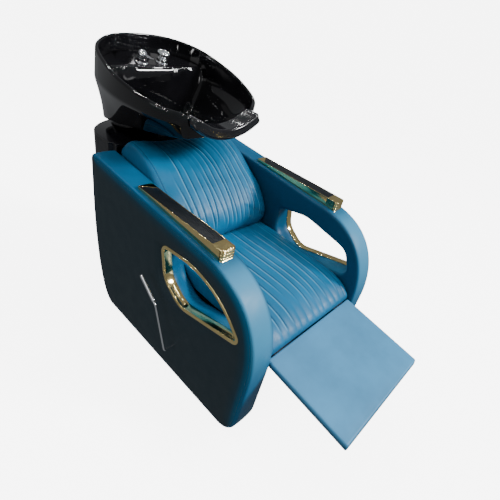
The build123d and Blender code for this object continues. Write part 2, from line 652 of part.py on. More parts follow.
def tilt_mount():
    y, z = TILT_PIVOT
    yoke = block(-54, 54, 578, 660, COLUMN_TOP, COLUMN_TOP + 8)
    yoke -= block(-20, 20, 600, 640, COLUMN_TOP - 1, COLUMN_TOP + 9)
    for side in (-1, 1):
        a, b = side * 46, side * 54
        ear = slab(polygon((578, COLUMN_TOP + 8), (650, COLUMN_TOP + 8), (y + 12, z), (y - 12, z)), a, b)
        ear += along_x(y, z, 12, min(a, b), max(a, b))
        yoke += ear
    save("tilt_yoke", yoke - along_x(y, z, 8, -60, 60))
    save("tilt_pin", along_x(y, z, 8, -60, 60))
    bracket = block(-60, 60, 576, 688, 756, 762)
    for side in (-1, 1):
        a, b = sorted((side * 36, side * 44))
        ear = slab(polygon((578, 756), (650, 756), (y + 12, z), (y - 12, z)), a, b)
        bracket += ear + along_x(y, z, 12, a, b)
    bracket -= along_x(y, z, 8 + RUNNING, -60, 60)
    save("basin_bracket", bracket)


def mixer():
    p = deck_spot(MIXER_X)
    body = ring(p, 27, 9, 0, 4)
    body += p * (Pos(0, 0, 12) * Cylinder(20, 16))
    body += p * (Pos(0, 0, -20) * Cylinder(10, 40))
    save("mixer_body", body)
    save("mixer_cap", p * (Pos(0, 0, 24.05) * Cylinder(20, 7.9)))
    dome = Pos(0, 0, 28.2) * (Sphere(20) & (Pos(0, 0, 10) * Box(60, 60, 20)))
    dome -= Pos(0, MIXER_HINGE[0] + 15, 38) * Box(60, 30, 40)
    barrel = Pos(0, *MIXER_HINGE) * Rot(0, 90, 0) * Cylinder(3, 18)
    blade = Pos(0, -38, 40) * Rot(-8, 0, 0) * Box(15, 62, 6)
    save("mixer_lever", p * (dome + barrel + blade))


def shower():
    p = deck_spot(SHOWER_X)
    holder = ring(p, 26, 16, 0, 4) + ring(p, 20, 13, 4, 16) + ring(p, 16, 13, -20, 4)
    save("shower_holder", holder)
    handle = Pos(0, 0, -22) * Cylinder(12.4, 84)
    neck = Pos(0, 0, 25) * Cone(12.4, 25, 10)
    head = Pos(0, 0, 36) * Cylinder(25, 12)
    hand = handle + neck + head
    for turn in range(8):
        hand -= Rot(0, 0, 45 * turn) * Pos(14, 0, 42) * Cylinder(2, 4)
    save("hand_shower", p * hand)


water_inlets()
base_frame()
back_supports()
column()
for panel_side, panel_name in ((-1, "right"), (1, "left")):
    panel_wrap = side_panel(panel_side, panel_name)
    window_trim(panel_side, panel_name)
    armrest(panel_side, panel_name, panel_wrap)
rear_housing()
seat()
backrest()
footrest()
lever()
shaft_supports()
push_rod()
basin_body = basin()
neck_rest(basin_body)
drain()
tilt_mount()
mixer()
shower()
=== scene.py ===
import json
import random
from math import atan2, cos, hypot, pi, radians, sin, sqrt, tan

import bmesh
import bpy
import numpy as np
from mathutils import Matrix, Vector

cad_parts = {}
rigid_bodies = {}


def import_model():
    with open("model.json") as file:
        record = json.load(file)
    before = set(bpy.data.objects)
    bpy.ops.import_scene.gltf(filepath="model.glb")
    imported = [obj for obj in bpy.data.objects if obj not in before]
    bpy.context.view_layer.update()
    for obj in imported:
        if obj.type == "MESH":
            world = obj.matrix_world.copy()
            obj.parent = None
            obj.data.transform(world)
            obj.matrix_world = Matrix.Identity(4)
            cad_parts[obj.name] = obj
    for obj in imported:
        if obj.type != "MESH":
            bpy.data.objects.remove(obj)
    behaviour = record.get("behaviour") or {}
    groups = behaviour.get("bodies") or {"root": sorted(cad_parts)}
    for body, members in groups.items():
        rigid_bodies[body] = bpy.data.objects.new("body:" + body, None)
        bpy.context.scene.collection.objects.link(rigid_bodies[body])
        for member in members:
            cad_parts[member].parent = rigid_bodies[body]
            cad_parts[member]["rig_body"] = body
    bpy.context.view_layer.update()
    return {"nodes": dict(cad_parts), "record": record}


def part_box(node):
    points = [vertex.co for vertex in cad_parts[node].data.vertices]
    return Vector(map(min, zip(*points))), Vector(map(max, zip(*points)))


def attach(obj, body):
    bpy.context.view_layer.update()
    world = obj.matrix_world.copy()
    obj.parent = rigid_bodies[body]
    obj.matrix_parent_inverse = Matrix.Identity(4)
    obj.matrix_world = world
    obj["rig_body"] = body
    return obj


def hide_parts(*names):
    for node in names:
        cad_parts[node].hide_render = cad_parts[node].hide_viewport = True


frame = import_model()

# A shampoo backwash unit: upholstered chair, gold-lined side panels and a black ceramic basin.
# Shapes are worked out in the design's millimetres and built in metres, on the design's own axes.

MM = 0.001
NODES = frame["nodes"]
SLOT = {part["node"]: part["material_slot"] for part in frame["record"]["subparts"]}

# Side panels
PANEL_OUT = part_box("side_upholstery_left")[1].x / MM
PANEL_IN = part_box("side_upholstery_left")[0].x / MM
FACE_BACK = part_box("side_facing_left")[0].x / MM
TOP_FRONT = (-190.0, 642.0)
TOP_REAR = (453.0, 684.5)
FLOOR_EDGE = 5.0
SEAM = 9.0
INNER_ROLL = 13.0
WINDOW_CENTRE = (-170.0, 480.0)
WINDOW = [(2, 560), (-250, 594), (-411, 433), (-118, 360), (-24, 424)]
WINDOW_RADII = [32, 300, 25, 90, 90]
WINDOW_INNER = [(-12, 533), (-150, 562), (-352, 526), (-402, 430), (-118, 358), (-20, 420)]
WINDOW_INNER_RADII = [30, 150, 60, 30, 90, 80]
FLANGE = 13.0
SLEEVE_IN = 310.0
FLARE = 48.0

# Armrests
ARM_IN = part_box("armrest_rail_left")[0].x / MM
ARM_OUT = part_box("armrest_rail_left")[1].x / MM
ARM_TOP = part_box("armrest_rail_left")[1].z / MM
CAP_FRONT = -250.0
CAP_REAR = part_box("armrest_rail_left")[0].y / MM

# Seat, backrest and footrest
SEAT_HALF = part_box("seat_cushion")[1].x / MM
SEAT_TOP = [(75, 430), (46, 431), (-172, 432), (-330, 424), (-405, 402), (-440, 372)]
SEAT_UNDER = [(-446, 358), (-445, 349), (-430, 347), (-420, 361), (75, 361)]
BACK_FRONT = [(47, 434), (36, 472), (46, 519), (99, 589), (177, 648), (240, 697), (316, 729)]
BACK_CROWN = [(356, 738), (396, 735), (426, 706)]
BACK_REAR = [(392.8, 672.7), (165, 448), (150, 434)]
BACK_BOARD = (165.0, 448.0)
BACK_SLOPE = 0.986
SADDLE_LOW = 702.0
SADDLE_R = 600.0
FOOT_REAR = (-447.0, 349.0)
FOOT_LENGTH = 322.0
FOOT_SLOPE = 8.5
FOOT_THICK = 28.4
FOOT_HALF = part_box("footrest_cushion")[1].x / MM

# Basin
RIM_FRONT = (145.0, 897.0)
RIM_REAR = (690.0, 1035.0)
RIM_LENGTH = hypot(RIM_REAR[0] - RIM_FRONT[0], RIM_REAR[1] - RIM_FRONT[1])
RIM_SLOPE = (RIM_REAR[1] - RIM_FRONT[1]) / (RIM_REAR[0] - RIM_FRONT[0])
RIM_SIN = (RIM_REAR[1] - RIM_FRONT[1]) / RIM_LENGTH
RIM_COS = (RIM_REAR[0] - RIM_FRONT[0]) / RIM_LENGTH
WALL = 12.0
NECK_Z = 1078.0
NECK_R = 235.0
DECK_DROP = 62.0
DECK_SPOT = 455.0
DECK_FRONT = 560.0
DECK_FOOT = 537.0
MIXER_X = -40.0
SHOWER_X = 56.0

BARREL = (15.0, 31.4)

# Camera: place in metres, azimuth, tilt down and roll in degrees, lens in millimetres
CAMERA_PLACE = (-0.93806, -0.80062, 1.28715)
CAMERA_TURN = (53.2, 35.21, 13.16)
CAMERA_LENS = 26.92

# Footrest lever
SHAFT = (-115.0, 170.0)
LEVER_X = (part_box("lever_grip")[0].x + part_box("lever_grip")[1].x) / 2 / MM
LEVER_KINK = (-50.0, 342.0)
LEVER_END = (43.0, 417.0)


# ---- outlines ----

def unit(a, b):
    """The direction from a to b."""
    d = np.subtract(b, a)
    return d / np.linalg.norm(d)


def line(a, b, count):
    return [tuple(np.add(a, np.subtract(b, a) * k / count)) for k in range(count)]


def bezier(a, b, c, d, count):
    found = []
    for k in range(count):
        t = k / count
        s = 1 - t
        weights = (s ** 3, 3 * s * s * t, 3 * s * t * t, t ** 3)
        found.append(tuple(sum(w * np.array(p) for w, p in zip(weights, (a, b, c, d)))))
    return found


def fillet(before, corner, after, radius, count):
    """An arc round a corner, from one tangent point to the other."""
    u, v = unit(corner, before), unit(corner, after)
    half = np.arccos(np.clip(u @ v, -1, 1)) / 2
    centre = np.array(corner) + (u + v) / np.linalg.norm(u + v) * radius / sin(half)
    start = np.array(corner) + u * radius / tan(half) - centre
    end = np.array(corner) + v * radius / tan(half) - centre
    first = atan2(start[1], start[0])
    sweep = (atan2(end[1], end[0]) - first + pi) % (2 * pi) - pi
    turns = [first + sweep * k / count for k in range(count + 1)]
    return [(centre[0] + radius * cos(t), centre[1] + radius * sin(t)) for t in turns]


def spline(points, per_span):
    """A smooth curve through the points, ends included."""
    p = [np.array(q, float) for q in points]
    p = [2 * p[0] - p[1]] + p + [2 * p[-1] - p[-2]]
    found = []
    for i in range(1, len(p) - 2):
        for k in range(per_span):
            t = k / per_span
            found.append(0.5 * (2 * p[i] + (p[i + 1] - p[i - 1]) * t
                                + (2 * p[i - 1] - 5 * p[i] + 4 * p[i + 1] - p[i + 2]) * t * t
                                + (3 * p[i] - p[i - 1] - 3 * p[i + 1] + p[i + 2]) * t ** 3))
    found.append(p[-2])
    return [tuple(q) for q in found]


def even(points, count, closed=True):
    """The same line with its points evenly spaced."""
    p = np.array(points + points[:1] if closed else points, float)
    along = np.concatenate([[0], np.cumsum(np.linalg.norm(np.diff(p, axis=0), axis=1))])
    want = np.linspace(0, along[-1], count + 1 if closed else count)
    if closed:
        want = want[:-1]
    return np.stack([np.interp(want, along, p[:, i]) for i in range(p.shape[1])], axis=1)


def rounded(corners, radii, count):
    dense = []
    for i, corner in enumerate(corners):
        dense += fillet(corners[i - 1], corner, corners[(i + 1) % len(corners)], radii[i], 24)
    return even(dense, count)


def grown(loop, amount):
    """A closed loop moved outwards by an amount."""
    loop = np.asarray(loop, float)
    run = np.roll(loop, -1, 0) - np.roll(loop, 1, 0)
    normal = np.stack([run[:, 1], -run[:, 0]], 1) / np.linalg.norm(run, axis=1)[:, None]
    area = np.sum(loop[:, 0] * np.roll(loop[:, 1], -1) - loop[:, 1] * np.roll(loop[:, 0], -1))
    return loop + normal * amount * (1 if area > 0 else -1)


def panel_outline(inset=0.0):
    """The side panel's outline in (Y, Z); each inset has matching points."""
    i = inset
    floor = FLOOR_EDGE + i
    front = (TOP_FRONT[0], TOP_FRONT[1] - i)
    corner = (TOP_REAR[0] - i, TOP_REAR[1] - i)
    rear = (456 - i, 480)
    turn = fillet(front, corner, rear, max(25 - i, 2), 10)
    loop = line(front, turn[0], 80) + turn[:-1] + line(turn[-1], rear, 24)
    loop += bezier(rear, (456 - i, 250), (415 - 0.3 * i, floor), (334, floor), 66)
    loop += line((334, floor), (-375, floor), 80)
    loop += bezier((-375, floor), (-425 + 0.4 * i, floor), (-454 + i, 45 + 0.4 * i), (-458 + i, 110), 22)
    loop += line((-458 + i, 110), (-462 + i, 330), 26)
    loop += bezier((-462 + i, 330), (-462 + i, 545 - 0.3 * i), (-345 + 0.3 * i, 640 - i), front, 60)
    return np.array(loop)


def panel_rays():
    """Directions from the window's centre to the points of the panel's outline."""
    return np.arctan2(*(panel_outline() - WINDOW_CENTRE).T[::-1])


def on_rays(loop, rays):
    """Points of a closed loop in the given directions from the window's centre."""
    d = np.asarray(loop) - WINDOW_CENTRE
    turn = np.arctan2(d[:, 1], d[:, 0])
    reach = np.hypot(d[:, 0], d[:, 1])
    order = np.argsort(turn)
    r = np.interp(rays, turn[order], reach[order], period=2 * pi)
    return np.stack([WINDOW_CENTRE[0] + r * np.cos(rays), WINDOW_CENTRE[1] + r * np.sin(rays)], 1)


# ---- meshes ----

def skin(loops, around=True, ring=False, caps=False):
    """Points and faces of a surface through loops that have the same number of points."""
    count = len(loops[0])
    points = [tuple(p) for loop in loops for p in loop]
    faces = []
    for k in range(len(loops) if ring else len(loops) - 1):
        a, b = k * count, (k + 1) % len(loops) * count
        for j in range(count if around else count - 1):
            n = (j + 1) % count
            faces.append((a + j, a + n, b + n, b + j))
    if caps:
        last = (len(loops) - 1) * count
        for i in range(count // 2 - 1 + count % 2):
            rung = dict.fromkeys((i, i + 1, count - 2 - i, count - 1 - i))
            faces.append(tuple(reversed(tuple(rung))))
            faces.append(tuple(last + j for j in rung))
    return points, faces


def joined(*parts):
    """Several (points, faces) as one."""
    points, faces = [], []
    for more, more_faces in parts:
        faces += [tuple(i + len(points) for i in f) for f in more_faces]
        points += list(more)
    return points, faces


def mesh_object(name, shape):
    """An object made from (points, faces) in millimetres, its faces turned outwards."""
    points, faces = shape
    mesh = bpy.data.meshes.new(name)
    mesh.from_pydata([(p[0] * MM, p[1] * MM, p[2] * MM) for p in points], [], faces)
    made = placed(name, mesh)
    outward(mesh)
    return made


def piece(name, shape, node, smooth_angle=None):
    """A new piece that stands for a CAD node."""
    return stand_for(mesh_object(name, shape), node, smooth_angle)


def stand_for(made, node, smooth_angle=None):
    """Give a piece the body, slot and finish of the CAD node that it replaces."""
    dress(made, MATERIALS[SLOT[node]], NODES[node]["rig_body"], smooth_angle)
    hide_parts(node)
    return made


def placed(name, data):
    made = bpy.data.objects.new(name, data)
    bpy.context.scene.collection.objects.link(made)
    return made


def outward(mesh):
    bm = bmesh.new()
    bm.from_mesh(mesh)
    bmesh.ops.recalc_face_normals(bm, faces=bm.faces)
    bm.to_mesh(mesh)
    bm.free()


def dress(made, material, body, smooth_angle=None):
    made.data.materials.clear()
    made.data.materials.append(material)
    made.data.shade_smooth()
    if smooth_angle:
        made.data.set_sharp_from_angle(angle=radians(smooth_angle))
    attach(made, body)


def settle(made):
    """Apply a piece's modifiers."""
    bpy.context.view_layer.update()
    mesh = bpy.data.meshes.new_from_object(made.evaluated_get(bpy.context.evaluated_depsgraph_get()))
    made.modifiers.clear()
    made.data = mesh
    return made


def subdivide(made, levels=1):
    smoother = made.modifiers.new("subdivision", "SUBSURF")
    smoother.levels = levels
    smoother.render_levels = levels
    return settle(made)


def eased(node, width):
    """A CAD node's own shape with its edges eased, standing for the node."""
    made = placed(node + "_eased", NODES[node].data.copy())
    bm = bmesh.new()
    bm.from_mesh(made.data)
    bmesh.ops.remove_doubles(bm, verts=bm.verts, dist=2e-6)
    bmesh.ops.dissolve_limit(bm, angle_limit=radians(0.5), verts=bm.verts, edges=bm.edges)
    bm.to_mesh(made.data)
    bm.free()
    bevel = made.modifiers.new("eased", "BEVEL")
    bevel.width = width * MM
    bevel.segments = 3
    bevel.limit_method = "ANGLE"
    bevel.angle_limit = radians(28)
    bevel.use_clamp_overlap = True
    settle(made)
    stand_for(made, node, 40)


def coordinates(made):
    co = np.zeros(len(made.data.vertices) * 3)
    made.data.vertices.foreach_get("co", co)
    return co.reshape(-1, 3) / MM


def normals(made):
    found = np.zeros(len(made.data.vertices) * 3, np.float32)
    made.data.vertex_normals.foreach_get("vector", found)
    return found.reshape(-1, 3).astype(float)


def move_to(made, co):
    made.data.vertices.foreach_set("co", (np.asarray(co) * MM).ravel())
    made.data.update()


def paint(made, name, values):
    """Store a number at each point for the material to use."""
    layer = made.data.attributes.new(name, "FLOAT", "POINT")
    layer.data.foreach_set("value", np.asarray(values, np.float32))


def ease(t):
    t = np.clip(t, 0, 1)
    return t * t * (3 - 2 * t)


def inflate(made, free, limit, pressure=4.0, frames=20):
    """Fill the cover like foam: cloth under pressure, its pinned points still, capped at the limit."""
    start = coordinates(made)
    pins = made.vertex_groups.new(name="pins")
    for index, share in enumerate(free):
        pins.add([index], float(1 - share), "REPLACE")
    cloth = made.modifiers.new("fill", "CLOTH")
    cloth.settings.quality = 5
    cloth.settings.use_pressure = True
    cloth.settings.uniform_pressure_force = pressure
    cloth.settings.vertex_group_mass = "pins"
    cloth.settings.effector_weights.gravity = 0
    cloth.collision_settings.use_collision = False
    scene = bpy.context.scene
    for number in range(1, frames + 1):
        scene.frame_set(number)
    bpy.context.view_layer.update()
    end = coordinates(made.evaluated_get(bpy.context.evaluated_depsgraph_get()))
    made.modifiers.clear()
    made.vertex_groups.clear()
    scene.frame_set(1)
    step = end - start
    length = np.maximum(np.linalg.norm(step, axis=1), 1e-6)
    step *= (limit * np.tanh(length / limit) / length)[:, None]
    move_to(made, start + step)


def tube(path, radii, sides=16, flat=None):
    """A rod along a path; flat gives each point's share of thickness across the second axis."""
    path = np.asarray(path, float)
    run = np.gradient(path, axis=0)
    run /= np.linalg.norm(run, axis=1)[:, None]
    across = np.array([1.0, 0.0, 0.0])
    if abs(run[0] @ across) > 0.9:
        across = np.array([0.0, 0.0, 1.0])
    loops = []
    for i, point in enumerate(path):
        across = across - run[i] * (across @ run[i])
        across /= np.linalg.norm(across)
        other = np.cross(run[i], across)
        squeeze = 1.0 if flat is None else flat[i]
        turns = [2 * pi * k / sides for k in range(sides)]
        loops.append([point + radii[i] * (cos(t) * across * squeeze + sin(t) * other) for t in turns])
    return skin(loops, caps=True)


def lathe(profile, plane, sides=64, hollow=False):
    """A turned form: profile is (radius, height) on a plane given as (origin, x, y, z) axes."""
    origin, ax, ay, az = plane
    loops = []
    for radius, height in profile:
        turns = [2 * pi * k / sides for k in range(sides)]
        loops.append([origin + radius * (cos(t) * ax + sin(t) * ay) + height * az for t in turns])
    return skin(loops, caps=not hollow, ring=hollow)


def turned(corners, radius=1.0, count=4):
    """A lathe profile with its inner corners rounded."""
    found = [corners[0]]
    for before, corner, after in zip(corners, corners[1:], corners[2:]):
        room = 0.45 * min(hypot(*np.subtract(before, corner)), hypot(*np.subtract(after, corner)))
        u, v = unit(corner, before), unit(corner, after)
        half = np.arccos(np.clip(u @ v, -1, 1)) / 2
        if half > radians(86) or room < 0.05:
            found.append(corner)
            continue
        found += fillet(before, corner, after, min(radius, room * tan(half)), count)
    return found + [corners[-1]]


def stitches(path, outwards, length=4.2, gap=2.4, radius=0.55, sink=0.1):
    """A row of thread stitches along a path that lies on a surface."""
    path = np.asarray(path, float)
    total = np.linalg.norm(np.diff(path, axis=0), axis=1).sum()
    count = int(total / (length + gap))
    ends = even([tuple(p) for p in path], 2 * count, closed=False)
    lift = even([tuple(p) for p in outwards], 2 * count, closed=False)
    parts = []
    for k in range(count):
        a, b = ends[2 * k], ends[2 * k + 1]
        up = lift[2 * k] / np.linalg.norm(lift[2 * k])
        mid = (a + b) / 2
        half = (b - a) / np.linalg.norm(b - a) * length / 2
        points = [mid - half - up * 0.5, mid - half * 0.6 + up * 0.35, mid + up * 0.5,
                  mid + half * 0.6 + up * 0.35, mid + half - up * 0.5]
        points = [p - up * sink for p in points]
        parts.append(tube(points, [radius * 0.6, radius, radius, radius, radius * 0.6], sides=6))
    return joined(*parts)


# ---- materials ----

class Shader:
    """A material's node tree, with short ways to add the nodes that every finish needs."""

    def __init__(self, name, colour, roughness, **sockets):
        self.material = bpy.data.materials.new(name)
        self.material.use_nodes = True
        self.tree = self.material.node_tree
        self.surface = self.tree.nodes["Principled BSDF"]
        self.set(self.surface, "Base Color", (*colour, 1))
        self.set(self.surface, "Roughness", roughness)
        for socket, value in sockets.items():
            self.set(self.surface, socket.replace("_", " "), value)
        self.place = self.tree.nodes.new("ShaderNodeTexCoord").outputs["Object"]
        self.material.diffuse_color = (*colour, 1)

    def set(self, node, socket, value):
        node.inputs[socket].default_value = value

    def link(self, output, node, socket):
        self.tree.links.new(output, node.inputs[socket])

    def stretched(self, scale):
        node = self.tree.nodes.new("ShaderNodeMapping")
        self.link(self.place, node, "Vector")
        self.set(node, "Scale", scale)
        return node.outputs["Vector"]

    def noise(self, scale, detail=3.0, where=None, roughness=0.55):
        node = self.tree.nodes.new("ShaderNodeTexNoise")
        self.link(where or self.place, node, "Vector")
        self.set(node, "Scale", scale)
        self.set(node, "Detail", detail)
        self.set(node, "Roughness", roughness)
        return node.outputs["Fac"]

    def cells(self, scale, feature="DISTANCE_TO_EDGE", where=None):
        node = self.tree.nodes.new("ShaderNodeTexVoronoi")
        node.feature = feature
        self.link(where or self.place, node, "Vector")
        self.set(node, "Scale", scale)
        return node.outputs["Distance"]

    def ramp(self, fac, *stops):
        """Colours at places along a value: (place, (r, g, b))."""
        node = self.tree.nodes.new("ShaderNodeValToRGB")
        marks = node.color_ramp.elements
        while len(marks) < len(stops):
            marks.new(0.5)
        for mark, (where, colour) in zip(marks, sorted(stops)):
            mark.position = where
            mark.color = (*colour, 1)
        self.link(fac, node, "Fac")
        return node.outputs["Color"]

    def mottled(self, fac, colour, dark, light, start=0.3, end=0.7):
        """A colour that wanders from a darker to a lighter shade of itself."""
        return self.ramp(fac, (start, shade_of(colour, dark)), (end, shade_of(colour, light)))

    def between(self, fac, low, high, start=0.3, end=0.7):
        node = self.tree.nodes.new("ShaderNodeMapRange")
        self.link(fac, node, "Value")
        self.set(node, "From Min", start)
        self.set(node, "From Max", end)
        self.set(node, "To Min", low)
        self.set(node, "To Max", high)
        return node.outputs["Result"]

    def painted(self, name):
        node = self.tree.nodes.new("ShaderNodeAttribute")
        node.attribute_name = name
        return node.outputs["Fac"]

    def mix(self, fac, a, b, kind="MIX"):
        """Mix two colours; each is a link or a fixed colour."""
        node = self.tree.nodes.new("ShaderNodeMix")
        node.data_type = "RGBA"
        node.blend_type = kind
        for index, value in ((6, a), (7, b)):
            if isinstance(value, tuple):
                node.inputs[index].default_value = (*value, 1)
            else:
                self.tree.links.new(value, node.inputs[index])
        if isinstance(fac, float):
            node.inputs[0].default_value = fac
        else:
            self.tree.links.new(fac, node.inputs[0])
        return node.outputs[2]

    def bump(self, *layers):
        """Bump layers, each (height, strength, distance in millimetres), the broad ones first."""
        normal = None
        for height, strength, distance in layers:
            node = self.tree.nodes.new("ShaderNodeBump")
            self.set(node, "Strength", strength)
            self.set(node, "Distance", distance * MM)
            self.link(height, node, "Height")
            if normal:
                self.link(normal, node, "Normal")
            normal = node.outputs["Normal"]
        self.link(normal, self.surface, "Normal")

    def colour(self, output):
        self.link(output, self.surface, "Base Color")

    def rough(self, output):
        self.link(output, self.surface, "Roughness")


def shade_of(colour, factor):
    return tuple(min(1.0, c * factor) for c in colour)


def leather(name, colour, low=0.34, high=0.5, painted_shade=None, painted_highlight_colour=None):
    """Fine-grained leatherette: pebbled and slightly uneven in colour, with painted shade darkening it and
    painted highlight paling it where the points ask for them.
    """
    s = Shader(name, colour, (low + high) / 2, Specular_IOR_Level=0.28, Sheen_Weight=0.04,
               Sheen_Roughness=0.45, Sheen_Tint=(0.3, 0.7, 1.0, 1))
    base = s.mottled(s.noise(7.0, 5.0), colour, 0.86, 1.14)
    # painted shade: darker where the points' stored shade value is high (creases, seams, inner faces,
    # undersides)
    base = s.mix(s.painted("painted_shade"), base, painted_shade or shade_of(colour, 0.45))
    # painted highlight: paler where the points' stored highlight value is high (fold ridges, the arms'
    # fronts)
    base = s.mix(s.painted("painted_highlight"), base, painted_highlight_colour or shade_of(colour, 1.5))
    s.colour(base)
    s.rough(s.between(s.noise(26.0, 4.0), low, high))
    grain = s.cells(620.0, "F1")
    s.bump((s.noise(38.0, 3.0), 0.35, 1.2), (grain, 0.3, 0.25), (s.noise(1500.0, 2.0), 0.2, 0.12))
    return s.material


def facing_leather():
    """Near-black teal over the panel's flat, with painted light: a blue highlight ramped in towards the
    edges that face the front and top.
    """
    dark = (0.0170, 0.0350, 0.0450)
    s = Shader("facing_leather", dark, 0.55, Specular_IOR_Level=0.3)
    # painted highlight: the stored edge value ramps the colour from the dark teal to bright blue
    edge = s.painted("edge")
    along = s.ramp(edge, (0.0, dark), (0.3, (0.006, 0.040, 0.066)), (0.6, (0.0, 0.095, 0.19)),
                   (1.0, (0.0, 0.20, 0.42)))
    s.colour(s.mix(s.between(s.noise(5.0, 5.0), 0.0, 0.14), along, (0.018, 0.032, 0.040)))
    s.rough(s.between(s.noise(18.0, 4.0), 0.5, 0.62))
    s.bump((s.noise(30.0, 3.0), 0.25, 0.8), (s.cells(560.0, "F1"), 0.35, 0.3),
           (s.noise(1300.0, 2.0), 0.2, 0.12))
    return s.material


def metal(name, colour, low, high, streak=(6.0, 6.0, 6.0), variation=0.12):
    """Polished or plated metal with faint streaks, small tone changes and wiped patches."""
    s = Shader(name, colour, (low + high) / 2, Metallic=1.0)
    s.colour(s.mottled(s.noise(9.0, 4.0), colour, 1 - variation, 1 + variation * 0.6, end=0.72))
    lines = s.noise(60.0, 5.0, s.stretched(streak))
    s.rough(s.between(lines, low, high, 0.35, 0.68))
    s.bump((lines, 0.12, 0.12), (s.noise(900.0, 2.0), 0.08, 0.05))
    return s.material


def glossy(name, colour, low=0.03, high=0.09, coat=0.3, ripple=0.25):
    """Deep gloss glaze or lacquer, with a faint orange peel and wiped marks in its shine."""
    s = Shader(name, colour, low, Specular_IOR_Level=0.45, Coat_Weight=coat, Coat_Roughness=0.03)
    s.colour(s.mottled(s.noise(11.0, 4.0), colour, 0.75, 1.35))
    s.rough(s.between(s.noise(14.0, 6.0), low, high, 0.4, 0.75))
    s.bump((s.noise(22.0, 2.0), 0.12, ripple), (s.noise(420.0, 2.0), 0.05, 0.05))
    return s.material


def moulded(name, colour, low=0.38, high=0.52, grain=700.0, depth=0.25, **sockets):
    """Moulded plastic or rubber with a spark-eroded texture and faint scuffs."""
    s = Shader(name, colour, (low + high) / 2, **sockets)
    s.colour(s.mottled(s.noise(16.0, 5.0), colour, 0.8, 1.25, 0.32, 0.68))
    s.rough(s.between(s.noise(40.0, 5.0), low, high))
    s.bump((s.cells(grain, "F1"), 0.35, depth), (s.noise(1200.0, 2.0), 0.25, 0.1))
    return s.material


def coated_steel(name, colour):
    """Powder-coated steel: fine orange peel, with the bare metal just showing in worn flecks."""
    s = Shader(name, colour, 0.45, Specular_IOR_Level=0.5)
    flecks = s.between(s.noise(120.0, 6.0), 0.0, 1.0, 0.72, 0.78)
    s.colour(s.mix(flecks, s.mottled(s.noise(12.0, 3.0), colour, 0.8, 1.3), (0.22, 0.22, 0.23)))
    s.rough(s.between(s.noise(60.0, 4.0), 0.38, 0.55))
    s.bump((s.noise(450.0, 2.0), 0.4, 0.15))
    return s.material


def plywood(name, colour):
    s = Shader(name, colour, 0.65, Specular_IOR_Level=0.3)
    fibres = s.noise(14.0, 8.0, s.stretched((1.0, 14.0, 14.0)))
    s.colour(s.ramp(fibres, (0.3, shade_of(colour, 0.6)), (0.55, colour), (0.75, shade_of(colour, 1.2))))
    s.rough(s.between(fibres, 0.55, 0.75))
    s.bump((fibres, 0.4, 0.4))
    return s.material


BLUE = (0.005, 0.150, 0.315)
# The footrest's blue is the cushion blue made paler: painted light for its lit top.
PAINTED_LIGHT_BLUE = (0.075, 0.28, 0.50)
MATERIALS = {
    # The band's last colour is a painted highlight for the arms' fronts.
    "upholstery_band": leather("band_leather", (0.001, 0.100, 0.220), 0.36, 0.5, painted_highlight_colour=(0.07, 0.31, 0.52)),
    "facing": facing_leather(),
    # The cushion's last two colours are painted shade and painted highlight.
    "cushion": leather("cushion_leather", BLUE, 0.36, 0.48, (0.0, 0.030, 0.08), (0.16, 0.46, 0.68)),
    "footrest_cover": leather("footrest_leather", PAINTED_LIGHT_BLUE, 0.4, 0.52),
    "gold": metal("polished_gold", (0.98, 0.76, 0.34), 0.07, 0.18, (0.6, 8.0, 8.0), 0.14),
    "arm_pad": moulded("arm_pad_satin", (0.006, 0.008, 0.010), 0.34, 0.46, 800.0, 0.12,
                       Specular_IOR_Level=0.25),
    "plywood": plywood("plywood_raw", (0.50, 0.35, 0.20)),
    "frame_paint": coated_steel("powder_coat_black", (0.018, 0.018, 0.020)),
    "steel": metal("zinc_plated_steel", (0.56, 0.56, 0.57), 0.24, 0.42, (1.0, 9.0, 9.0)),
    "chrome": metal("bright_chrome", (0.80, 0.81, 0.83), 0.05, 0.14, (4.0, 4.0, 4.0), 0.05),
    "bronze": metal("plain_bronze", (0.55, 0.37, 0.18), 0.26, 0.42),
    "black_gloss": glossy("black_lacquer", (0.006, 0.006, 0.008), 0.05, 0.14),
    "black_shell": moulded("black_shell_texture", (0.011, 0.012, 0.014), 0.32, 0.48, 620.0, 0.2),
    "ceramic": glossy("black_glaze", (0.004, 0.004, 0.005)),
    "gel": moulded("neck_gel", (0.005, 0.005, 0.007), 0.1, 0.2, 900.0, 0.03, Coat_Weight=0.5,
                   Coat_Roughness=0.06),
    "rubber": moulded("matt_rubber", (0.022, 0.022, 0.023), 0.6, 0.8, 500.0, 0.3),
    "white_plastic": moulded("drain_plastic", (0.05, 0.05, 0.055), 0.4, 0.55, 700.0, 0.2),
}
THREAD = moulded("sewing_thread", (0.03, 0.20, 0.36), 0.5, 0.65, 1500.0, 0.15, Sheen_Weight=0.3)
DARK_THREAD = moulded("dark_thread", (0.006, 0.04, 0.075), 0.5, 0.65, 1500.0, 0.15, Sheen_Weight=0.3)


def finish_nodes():
    for node, made in NODES.items():
        made.data.materials.clear()
        made.data.materials.append(MATERIALS[SLOT[node]])
    NODES["seat_board"].data.materials[0] = MATERIALS["black_shell"]


# ---- side panels ----

def at(loop, x, side):
    return [(side * x, y, z) for y, z in loop]


